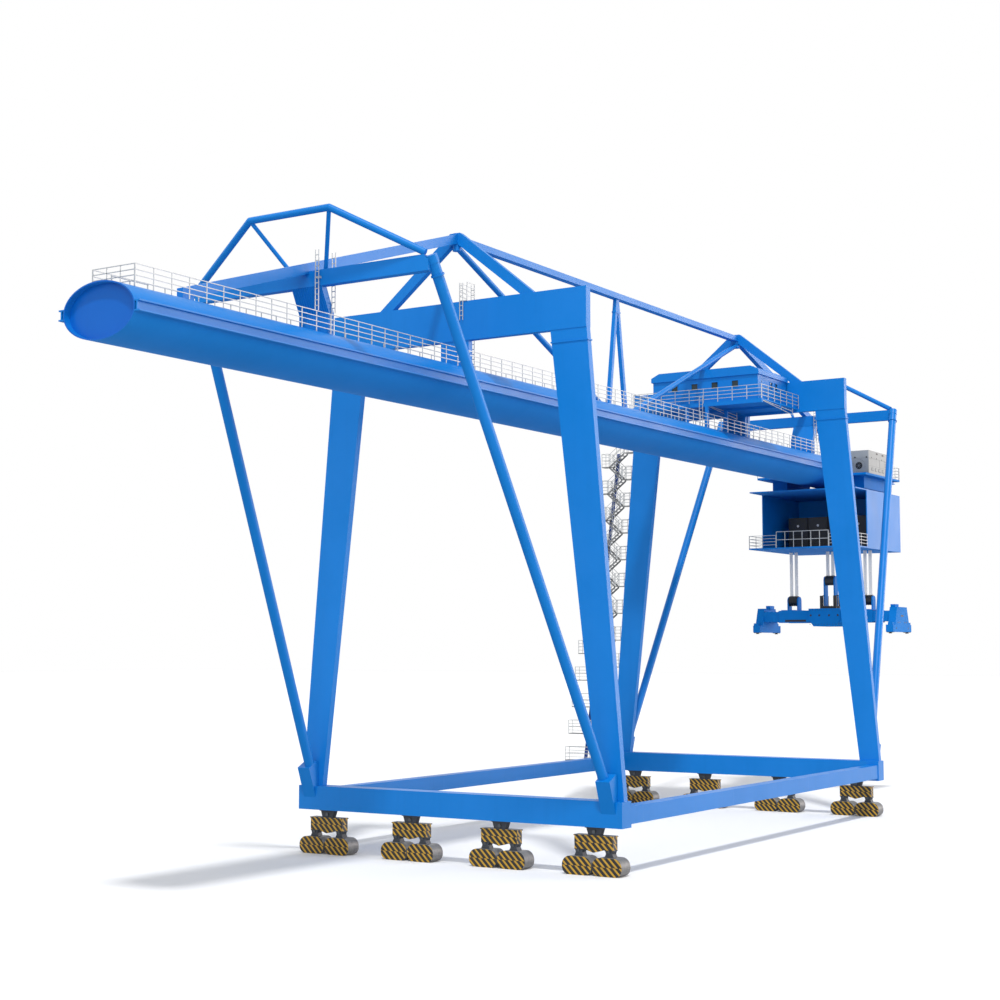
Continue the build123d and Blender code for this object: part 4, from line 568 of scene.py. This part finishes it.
class FitWalkwayPieces(bpy.types.Operator):
    """Adds the walkway's middle end posts, the crown's low rail, and the deck's ladder and edge frames"""

    bl_idname = "crane.walkway_pieces"
    bl_label = "Fit the walkway's small pieces"

    def execute(self, context):
        zinc = bpy.data.materials["Weathered galvanised steel"]
        piece("walkway_end_posts", *self.end_posts(), zinc, "gantry")
        piece("crown_low_rail", *self.crown_rail(), zinc, "gantry")
        piece("deck_ladder", *self.deck_ladder(), zinc, "gantry")
        piece("deck_edge_frames", *self.deck_edge_frames(), zinc, "gantry")
        return {"FINISHED"}

    def end_posts(self):
        """Two square posts at each end of the walkway, from the crown to the top rail."""
        tube, sunk, rail_top = 0.002, 0.001, 3.012
        y = np.array([-0.0265, 0.0610])
        x = reach("walkway_railings")[1][0] - tube
        half = [tube, tube, 0.0]
        return mirrored_boxes(spots(x, y, girder_crown(y) - sunk) - half, spots(x, y, rail_top) + half, ENDS)

    def crown_rail(self):
        """Three short posts and a bar over them, along the crown near each end."""
        radius, seat, post, bar, overhang = 0.0022, 2.9255, 0.036, 0.0355, 0.003
        feet = spots([4.837, 4.721, 4.604], 0.0, seat)
        posts = mirrored_bars(feet, feet + [0, 0, post], radius, ENDS)
        first, last = feet[:1] + [overhang, 0, bar], feet[-1:] + [-overhang, 0, bar]
        return joined(posts, mirrored_bars(first, last, radius, ENDS))

    def deck_ladder(self):
        """Two stiles, rungs and clips in front of the house deck, down to the crown."""
        gap, stile, rung, overrun = 0.0095, 0.0024, 0.0016, 0.054
        clip_half, clip_length, clip_drops = 0.002, 0.010, (0.008, 0.002)
        deck_low, deck_high = reach("house_platform")
        x, top, y = deck_low[0] - gap, deck_high[2], np.array([-0.030, -0.058])
        rungs = np.arange(2.950, 3.150, 0.028)
        stiles = prisms(spots(x, y, [2.924, 2.922]), spots(x, y, top + overrun), stile, 6)
        steps = prisms(spots(x, y[0], rungs), spots(x, y[1], rungs), rung, 6)
        clips = boxes(spots(x, y - clip_half, top - clip_drops[0]),
                      spots(x + clip_length, y + clip_half, top - clip_drops[1]))
        return joined(stiles, steps, clips)

    def deck_edge_frames(self):
        """Two tapering frames under the house deck: an upper and a lower rail with two stays."""
        rail, stay, plate, sunk = 0.0028, 0.0026, 0.010, 0.0005
        deck_low, deck_high = reach("house_platform")
        under = deck_high[2] - plate
        x = deck_low[0] + np.array([0.006, 0.592])
        shares = np.array([[0.62], [0.995]])
        frames = []
        for y in (-0.066, deck_low[1] + 0.004):
            upper, lower = spots(x, y, under - [sunk, 0.022]), spots(x, y, under - [0.003, 0.050])
            feet = lower[0] + shares * (lower[1] - lower[0])
            frames += [prisms(upper[:1], upper[1:], rail, 6), prisms(lower[:1], lower[1:], rail, 6),
                       prisms(spots(feet[:, 0], y, under + sunk), feet, stay, 6)]
        return joined(*frames)


class FitBolts(bpy.types.Operator):
    """Adds the bolt heads of splices, brace collars and hangers, the hangers' ribs, and the bogies' pins"""

    bl_idname = "crane.bolts"
    bl_label = "Fit bolts and pins"

    def execute(self, context):
        blue = bpy.data.materials["Sprayed blue topcoat"]
        piece("splice_bolts", *self.splice_bolts(), blue, "gantry")
        piece("collar_bolts", *self.collar_bolts(), blue, "gantry")
        piece("hanger_bolts", *self.hanger_bolts(), blue, "gantry")
        piece("hanger_ribs", *self.hanger_ribs(), blue, "gantry")
        piece("bogie_pins", *self.bogie_pins(), bpy.data.materials["Oiled machined steel"], "gantry")
        return {"FINISHED"}

    def splice_bolts(self):
        """A row of heads before and behind each leg, through its splice plates."""
        row_offset, drop, length, radius = 0.0235, 0.073, 0.0145, 0.0022
        y = np.linspace(0.684, 0.905, 12)
        x = HALF_GAUGE + np.array([[-row_offset], [row_offset]])
        rows = spots(x, y, reach("portal_legs")[1][2] - drop)
        return hex_heads(mirrored(rows, CORNERS), (0, 0, 1), length, radius)

    def collar_bolts(self):
        """A ring of heads round each corner brace, through the collar below its cap."""
        foot, head = np.array([1.995, 1.048, 0.368]), np.array([3.403, 0.7873, 3.242])
        drop, ring, length, radius = 0.1085, 0.0332, 0.0115, 0.0017
        axis = (head - foot) / np.linalg.norm(head - foot)
        collars = []
        for signs in CORNERS:
            at, along = (head - axis * drop) * signs, axis * signs
            collars.append(hex_heads(ring_places(at, along, ring, 16), along, length, radius))
        return joined(*collars)

    def hanger_bolts(self):
        """A row of heads on the face of each inner girder hanger."""
        inset, half_row, height, length = 0.0215, 0.080, 3.060, 0.006
        rows = spots(HALF_GAUGE - inset, np.linspace(-half_row, half_row, 5), height)
        return hex_heads(mirrored(rows, ENDS), (1, 0, 0), length, bpy.context.scene.crane_detail.bolt)

    def hanger_ribs(self):
        """Thin ribs down the bent face of each outer girder hanger, from its head to the crown."""
        radius, shift, bend, proud, sunk = 0.0018, 0.065, 0.131, 0.0007, 0.001
        y = np.linspace(-0.090, 0.090, 13)
        x, top = reach("girder_hangers")[1][[0, 2]] + [proud, 0.0]
        head, knee = spots(x, y, top - 2 * sunk), spots(x - shift, y, top - bend)
        foot = spots(x - shift, y, girder_crown(y) - sunk)
        return joined(mirrored_bars(head, knee, radius, ENDS), mirrored_bars(knee, foot, radius, ENDS))

    def bogie_pins(self):
        """A pin through each truck's neck, and a thicker one through the middle of each balance beam."""
        centres, neck_offset = np.array([-0.938, -0.316, 0.316, 0.938]), 0.096
        necks = (centres[:, None] + [-neck_offset, neck_offset]).ravel()
        pins = []
        for y, height, half, radius, sides in ((necks, 0.1330, 0.029, 0.0075, 14),
                                               (centres, 0.2380, 0.0245, 0.0110, 16)):
            middle = spots(HALF_GAUGE, y, height)
            pins.append(mirrored_bars(middle - [half, 0, 0], middle + [half, 0, 0], radius, ENDS, sides))
        return joined(*pins)


class DressHouse(bpy.types.Operator):
    """Adds window frames and bars, roof seams, and the door's hinges and handle to the machinery house"""

    bl_idname = "crane.house_pieces"
    bl_label = "Dress the machinery house"

    def execute(self, context):
        blue = bpy.data.materials["Sprayed blue topcoat"]
        steel = bpy.data.materials["Oiled machined steel"]
        piece("window_frames", *self.window_frames(), blue, "gantry")
        piece("roof_seams", *self.roof_seams(), blue, "gantry")
        piece("door_handle", *self.door_handle(), steel, "machinery_house_door")
        piece("door_hinges", *self.door_hinges(), steel, "machinery_house_door")
        return {"FINISHED"}

    def window_frames(self):
        """Four bars round each window, and a crossbar over each side window's glass."""
        edge, proud, sunk, bar, crossbar = 0.004, 0.0035, 0.0005, 0.003, 0.0225
        front_half, side_half = 0.026, 0.022
        front, side = reach("house_walls")[0][:2]
        sill, head = reach("house_windows")[0][2], reach("house_windows")[1][2]

        def bars(middle, half):
            a, b = middle - half, middle + half
            return np.array([[a - edge, sill - edge, b + edge, sill], [a - edge, head, b + edge, head + edge],
                             [a - edge, sill, a, head], [b, sill, b + edge, head]]).T

        parts = []
        for middle in (-0.255, -0.085, 0.085, 0.255):
            left, low, right, high = bars(middle, front_half)
            parts.append(boxes(spots(front - proud, left, low), spots(front, right, high)))
        for middle in (1.656, 1.752):
            left, low, right, high = bars(middle, side_half)
            parts.append(boxes(spots(left, side - proud, low), spots(right, side, high)))
            parts.append(boxes([[middle - side_half, side + sunk, sill + crossbar]],
                               [[middle + side_half, side + proud, sill + crossbar + bar]]))
        return joined(*parts)

    def roof_seams(self):
        """Standing seams across the flat of the roof."""
        half, slope, proud, sunk = 0.0012, 0.068, 0.0035, 0.0002
        low, high = reach("house_roof")
        x = np.linspace(1.47, 1.885, 6)
        return boxes(spots(x - half, low[1] + slope, high[2] - sunk),
                     spots(x + half, high[1] - slope, high[2] + proud))

    def door_handle(self):
        """A round rose, a spindle and a lever towards the hinges."""
        inset, height, stand_off, lever, proud, sunk = 0.0114, 3.192, 0.006, 0.013, 0.003, 0.0005
        rose_radius, bar_radius, overlap = 0.0042, 0.0013, 0.002
        low, high = reach("house_door")
        rose = np.array([[high[0] - inset, low[1], height]])
        grip = rose - [0, stand_off, 0]
        ends = np.concatenate([rose - [0, overlap, 0], grip - [lever, 0, 0]])
        return joined(prisms(rose - [0, proud, 0], rose + [0, sunk, 0], rose_radius, 14),
                      prisms(np.concatenate([grip, grip]), ends, bar_radius, 8))

    def door_hinges(self):
        """Three hinge barrels on the line that the leaf turns about."""
        half, radius = 0.006, 0.0022
        low = reach("house_door")[0]
        places = spots(low[0], low[1], [3.135, 3.200, 3.265])
        return prisms(places - [0, 0, half], places + [0, 0, half], radius, 12)


class DressCabinet(bpy.types.Operator):
    """Adds the electric cabinet's fan, vents, covers, knobs and seams, and the winches' louvres and lids"""

    bl_idname = "crane.cabinet_pieces"
    bl_label = "Dress the cabinet and winches"

    def execute(self, context):
        dark = powder_coat("Black moulded plastic", "#15171a", 0.2, 0.4)
        seam = powder_coat("Cabinet edge shadow gasket", "#6f7375", 0.1, 0.6)
        end, front, foot = self.corner = reach("trolley_cabinet")[0]
        self.fan = np.array([end, front + 0.087, foot + 0.070])
        piece("cabinet_fan_and_vents", *joined(self.fan_rim(), *self.vents_and_knobs()), dark, "trolley")
        piece("cabinet_fan_blades", *self.fan_blades(), seam, "trolley")
        piece("cabinet_seams", *self.seams_and_rivets(), seam, "trolley")
        x, half, low, high, margin = np.linspace(3.690, 4.030, 5), 0.022, foot + 0.027, foot + 0.054, 0.004
        covers = boxes(spots(x - half, front - 0.0025, low), spots(x + half, front + 0.0005, high))
        plates = boxes(spots(x - half + margin, front - 0.0032, low + margin),
                       spots(x + half - margin, front - 0.0020, high - margin))
        piece("cabinet_covers", *covers, seam, "trolley")
        piece("cabinet_cover_plates", *plates, bpy.data.materials["Light grey powder coat"], "trolley")
        self.dress_winches(dark)
        return {"FINISHED"}

    def fan_rim(self):
        """Rim and back plate of the fan in the cabinet's end."""
        profile = [(0.001, 0.0005), (0.030, 0.0005), (0.030, 0.004), (0.026, 0.006), (0.0225, 0.004),
                   (0.0225, 0.0022), (0.001, 0.0022)]
        return turned(self.fan, profile, (-1, 0, 0), 36)

    def fan_blades(self):
        """Seven blades from the fan's middle, and the hub before them."""
        a = 2 * np.pi * np.arange(7) / 7
        middle = self.fan - [0.0035, 0, 0]
        tips = middle + 0.023 * spots(0.0, np.cos(a), np.sin(a))
        profile = [(0.001, 0.0), (0.0075, 0.0), (0.0065, 0.0018), (0.001, 0.0022)]
        hub = turned(self.fan - [0.0025, 0, 0], profile, (-1, 0, 0), 16)
        return joined(prisms(np.tile(middle, (7, 1)), tips, 0.0016, 4), hub)

    def vents_and_knobs(self):
        """Knobs on the cabinet's end, and vents, sockets and slots of painted shade (black squares) in its
        long side.
        """
        end, front, foot = self.corner
        knob = [(0.0008, 0.0), (0.0065, 0.0), (0.0065, 0.003), (0.0008, 0.004)]
        knobs = [turned((end, front + y, foot + z), knob, (-1, 0, 0), 14)
                 for y, z in ((0.122, 0.142), (0.0185, 0.140))]
        x, width, low, high, vent_proud = np.array([3.780, 3.802, 3.924, 3.946]), 0.016, 0.175, 0.188, 0.0025
        vents = boxes(spots(x, front - vent_proud, foot + low), spots(x + width, front, foot + high))
        radius, proud, draw, socket_row = 0.005, 0.002, 0.001, 0.141
        places = spots([3.671, 3.793, 3.917, 4.043], front, foot + socket_row)
        sockets = discs(places, radius, proud, (0, -1, 0), 10, draw)
        # Painted shade: the slots are black squares laid on the side.
        left, side, pitch, slot_row = 4.000, 0.006, 0.014, 0.081
        z = foot + slot_row + pitch * np.arange(4)
        slot_shade_squares = boxes(spots(left, front - proud, z), spots(left + side, front, z + side))
        return [*knobs, vents, slot_shade_squares, *sockets]

    def seams_and_rivets(self):
        """Rivets in an arc over the fan and in a row below it, and the seams between the cabinet's panels."""
        end, front, foot = self.corner
        arc, ring = np.linspace(-0.2, np.pi + 0.2, 13), 0.056
        over = self.fan - [0.001, 0, 0.003] + ring * spots(0.0, np.cos(arc), np.sin(arc))
        below = spots(end - 0.001, np.linspace(front + 0.012, front + 0.167, 9), foot + 0.019)
        upper, lower, seam, proud, inset = foot + 0.133, foot + 0.067, 0.0012, 0.001, 0.006
        left, split, right, back = end + inset, end + 0.260, end + 0.526, front + 0.174
        out, sunk = front - proud, front + proud
        lows = [[end - proud, front + inset, upper], [left, out, upper], [left, out, lower],
                [split, out, lower]]
        highs = [[end + proud, back, upper + seam], [right, sunk, upper + seam], [right, sunk, lower + seam],
                 [split + seam, sunk, upper]]
        return joined(hex_heads(np.concatenate([over, below]), (1, 0, 0), 0.004, 0.0026), boxes(lows, highs))

    def dress_winches(self, dark):
        """Louvres, a lid and a dial on the face of each winch housing."""
        centres, half, sunk, proud = np.array([-0.282, -0.094, 0.094, 0.282]), 0.072, 0.0005, 0.003
        low, high = reach("winch_housings")
        z = low[2] + 0.020 + 0.016 * np.arange(8)
        louvres = boxes(spots(low[0] - 1.5 * proud, centres[:, None] - half, z),
                        spots(low[0] + sunk, centres[:, None] + half, z + 0.008))
        piece("winch_louvres", *louvres, dark, "slewing_house")
        lids = boxes(spots(low[0] - proud, centres - half - 0.010, low[2] + 0.160),
                     spots(low[0] + sunk, centres + half + 0.010, high[2] - 0.010))
        piece("winch_lids", *lids, bpy.data.materials["Black powder coat"], "slewing_house")
        dials = discs(spots(low[0] - proud, centres, low[2] + 0.223), 0.011, 0.0025, (-1, 0, 0), 20, 0.001)
        enamel = powder_coat("White enamel", "#dcdcda", 0.05, 0.4)
        piece("winch_dials", *joined(*dials), enamel, "slewing_house")


class DressSpreader(bpy.types.Operator):
    """Adds the sheaves' flanges, the motors' fins, and the spreader's bolts, ports, boxes and pads"""

    bl_idname = "crane.spreader_pieces"
    bl_label = "Dress the spreader"

    def execute(self, context):
        black = bpy.data.materials["Black powder coat"]
        iron = bpy.data.materials["Cast iron under black enamel"]
        satin = bpy.data.materials["Satin blue topcoat"]
        low, high = reach("spreader_frame")
        middle, face, top = (low[0] + high[0]) / 2, low[0], high[2]
        piece("sheave_flanges", *self.sheave_flanges(middle, top), iron, "spreader")
        ring = ring_places((middle, 0.0, top + 0.0224), (0, 0, 1), 0.088, 28)
        piece("turntable_bolts", *hex_heads(ring, (0, 0, 1), 0.006, 0.0032), iron, "spreader")
        piece("motor_fins", *self.motor_fins(middle, top), black, "spreader")
        rows = spots(face, np.linspace(-0.132, 0.132, 11)[:, None], [low[2] + 0.0179, top - 0.0141])
        piece("body_bolts", *hex_heads(rows, (1, 0, 0), 0.006, 0.0030), iron, "spreader")
        places = spots(face + 0.001, [-0.125, -0.045, 0.045, 0.125], top - 0.0601)
        ports = discs(places, 0.0095, 0.003, (-1, 0, 0), 16, 0.001)
        # Painted shade: black bands on the sleeves' lower faces stand for the dark slots there.
        slot_shade_bands = mirrored_boxes([[face + 0.0128, 0.176, 1.482]], [[face + 0.0152, 0.372, 1.499]], SIDES)
        piece("body_ports_and_slot_shade", *joined(slot_shade_bands, *ports), black, "spreader")
        for side, body in ((1, "spreader_arm_left"), (-1, "spreader_arm_right")):
            piece("gable_boxes_" + body, *self.gable_boxes(side, middle), satin, body)
            piece("gable_marks_" + body, *self.gable_marks(side, middle), black, body)
        return {"FINISHED"}

    def sheave_flanges(self, middle, top):
        """Thin rims beside the rope grooves of the two outer sheave groups."""
        group, rise, width = 0.345, 0.0719, 0.0024
        shifts = (-0.0385, -0.0285, -0.018, 0.0, 0.018, 0.0285, 0.0385)
        profile = [(0.012, 0.0), (0.0455, 0.0), (0.0455, width), (0.012, width)]
        return joined(*[turned((middle, side * group + shift - width / 2, top + rise), profile, (0, 1, 0), 36)
                        for side in (-1, 1) for shift in shifts])

    def motor_fins(self, middle, top):
        """Nine cooling fins round each turntable motor, and a domed cap on it."""
        fin = [(0.014, 0.0), (0.0185, 0.0), (0.0185, 0.0026), (0.014, 0.0026)]
        cap = [(0.001, 0.0), (0.0178, 0.0), (0.0178, 0.003), (0.012, 0.008), (0.001, 0.0095)]
        parts = []
        first, pitch, head, offset = top + 0.0379, 0.008, top + 0.1124, 0.062
        for y in (-offset, offset):
            parts += [turned((middle, y, first + pitch * k), fin, (0, 0, 1), 24) for k in range(9)]
            parts.append(turned((middle, y, head), cap, (0, 0, 1), 24))
        return joined(*parts)

    def gable_boxes(self, side, middle):
        """Box on the gable's top, and a block over each of its feet."""
        low, high = reach("arm_left")
        inset, half, block, inner, outer, foot, head = 0.002, 0.046, 0.050, 0.598, 0.640, 1.450, 1.470
        left, right = low[0] + inset, high[0] - inset
        lows = [[middle - half, 0.560, 1.598], [left, inner, foot], [right - block, inner, foot]]
        highs = [[middle + half, 0.600, 1.628], [left + block, outer, head], [right, outer, head]]
        return mirrored_boxes(lows, highs, [(1, side, 1)])

    def gable_marks(self, side, middle):
        """Black discs and a bar, painted shade for holes and a slot in the gable's face, and pads under its
        feet.
        """
        low, high = reach("arm_left")
        face, sunk, proud, half, radius, height = high[1], 0.0005, 0.0012, 0.034, 0.007, 0.0014
        low_holes, rise, foot_width = 1.420, 0.050, 0.120
        offsets = np.array([-0.150, -0.106, -0.062, 0.062, 0.106, 0.150])
        z = low_holes + rise * (np.abs(offsets) < foot_width)
        # Painted shade: the holes and the slot are black discs and a black bar laid on the face.
        gable_hole_shade = discs(spots(middle + offsets, side * (face - sunk), z), radius, height, (0, side, 0), 14)
        gable_slot_shade = [[middle - half, face - sunk, 1.520]], [[middle + half, face + proud, 1.532]]
        inset, pad, inner, outer, foot, head = 0.003, 0.036, 0.585, 0.641, low[2] - 0.0046, low[2] + 0.0004
        left, right = low[0] + inset, high[0] - inset
        pads = ([[left, inner, foot], [right - pad, inner, foot]],
                [[left + pad, outer, head], [right, outer, head]])
        signs = [(1, side, 1)]
        return joined(mirrored_boxes(*gable_slot_shade, signs), mirrored_boxes(*pads, signs), *gable_hole_shade)


class SetStage(bpy.types.Operator):
    """Lays the floor and sets the light and the camera at the photograph's viewing angle"""

    bl_idname = "crane.stage"
    bl_label = "Set the studio"

    def execute(self, context):
        scene = context.scene
        s = scene.crane_stage
        self.lay_floor(scene)
        self.set_sky(scene, s.sky)
        self.hang_lamps(scene, s)
        self.set_camera(scene, s.lens)
        scene.view_settings.view_transform = "Standard"
        return {"FINISHED"}

    def lay_floor(self, scene):
        """A wide slab just under the trucks. It looks white, and throws less light up onto the crane."""
        half, depth, gap = 60, 0.06, 0.0004
        points, faces = boxes([[-half, -half, -depth]], [[half, half, -gap]])
        mesh = bpy.data.meshes.new("floor")
        mesh.from_pydata(points.tolist(), [], faces)
        floor = bpy.data.objects.new("floor", mesh)
        scene.collection.objects.link(floor)
        material, tree, shader = start_material("Pale studio floor", Roughness=0.9)[:3]
        shader.inputs["Specular IOR Level"].default_value = 0.1
        thrown = add(tree, "ShaderNodeLightPath").outputs["Is Diffuse Ray"]
        pale = mixed(tree, thrown, linear("#f6f6f6"), linear("#c4c4c4"))
        tree.links.new(pale, shader.inputs["Base Color"])
        mesh.materials.append(material)

    def set_sky(self, scene, strength):
        """White to the camera, in reflections and through glass, and a pale blue fill everywhere else."""
        world = bpy.data.worlds.new("studio")
        world.use_nodes = True
        tree = world.node_tree
        tree.nodes.clear()
        path = add(tree, "ShaderNodeLightPath").outputs
        seen = math_node(tree, "MAXIMUM", path["Is Camera Ray"], path["Is Transmission Ray"])
        seen = math_node(tree, "MAXIMUM", seen, path["Is Glossy Ray"])
        fill = add(tree, "ShaderNodeBackground", {"Color": (0.92, 0.96, 1.0, 1), "Strength": strength})
        white = add(tree, "ShaderNodeBackground", {"Color": (1, 1, 1, 1), "Strength": 1.0})
        both = add(tree, "ShaderNodeMixShader", {0: seen, 1: fill.outputs[0], 2: white.outputs[0]})
        add(tree, "ShaderNodeOutputWorld", {"Surface": both.outputs[0]})
        scene.world = world

    def hang_lamps(self, scene, s):
        """Suns with their strength, width in degrees, direction, place in reflections and tint."""
        plain, warm = (1.0, 1.0, 1.0), (1.0, 0.90, 0.86)
        for name, strength, angle, toward, glossy, tint in (
                ("key", s.key, 5, (-0.40, -0.28, 0.87), True, plain),
                ("sheen", s.sheen, 44, (0.72, -0.66, 0.10), True, warm),
                ("fill", s.fill, 60, (-0.84, -0.46, 0.22), False, plain),
                ("back", s.back, 60, (0.30, 0.90, 0.40), False, plain)):
            lamp = bpy.data.lights.new(name, "SUN")
            lamp.energy, lamp.angle, lamp.color = strength, math.radians(angle), tint
            lit = bpy.data.objects.new(name, lamp)
            lit.rotation_mode = "QUATERNION"
            lit.rotation_quaternion = Vector(toward).to_track_quat("Z", "Y")
            lit.visible_glossy = glossy
            scene.collection.objects.link(lit)

    def set_camera(self, scene, lens):
        """A camera low before the near corner, looking along the girder and a little up."""
        eye, yaw, pitch, roll = (-10.42136, -5.67014, 1.26), 0.5669960, 0.0857226, -0.00063357
        camera = bpy.data.cameras.new("camera")
        camera.lens, camera.sensor_width, camera.sensor_fit = lens, 36.0, "HORIZONTAL"
        camera.clip_end = 300.0
        view = bpy.data.objects.new("camera", camera)
        ahead = np.array([math.cos(yaw) * math.cos(pitch), math.sin(yaw) * math.cos(pitch), math.sin(pitch)])
        side = np.array([math.sin(yaw), -math.cos(yaw), 0.0])
        top = np.cross(side, ahead)
        turn = np.eye(4)
        turn[:3, 0] = math.cos(roll) * side + math.sin(roll) * top
        turn[:3, 1] = -math.sin(roll) * side + math.cos(roll) * top
        turn[:3, 2], turn[:3, 3] = -ahead, eye
        view.matrix_world = Matrix(turn.tolist())
        scene.collection.objects.link(view)
        scene.camera = view


class CRANE_PT_panel(bpy.types.Panel):
    """Lists the crane's finishing steps"""

    bl_label = "Gantry crane"
    bl_idname = "CRANE_PT_panel"
    bl_space_type = "VIEW_3D"
    bl_region_type = "UI"
    bl_category = "Crane"

    def draw(self, context):
        for step in STEPS:
            self.layout.operator(step.bl_idname)


STEPS = (PaintCrane, FitStairHandrails, FitWalkwayPieces, FitBolts, DressHouse, DressCabinet, DressSpreader,
         SetStage)
SETTINGS = {"crane_finish": CraneFinishSettings, "crane_detail": CraneDetailSettings,
            "crane_stage": CraneStageSettings}


def register():
    for cls in (*SETTINGS.values(), *STEPS, CRANE_PT_panel):
        bpy.utils.register_class(cls)
    for name, cls in SETTINGS.items():
        setattr(bpy.types.Scene, name, bpy.props.PointerProperty(type=cls))


def unregister():
    for name in SETTINGS:
        delattr(bpy.types.Scene, name)
    for cls in (CRANE_PT_panel, *reversed(STEPS), *SETTINGS.values()):
        bpy.utils.unregister_class(cls)


def main():
    register()
    for step in STEPS:
        group, name = step.bl_idname.split(".")
        getattr(getattr(bpy.ops, group), name)()


if __name__ == "__main__":
    main()
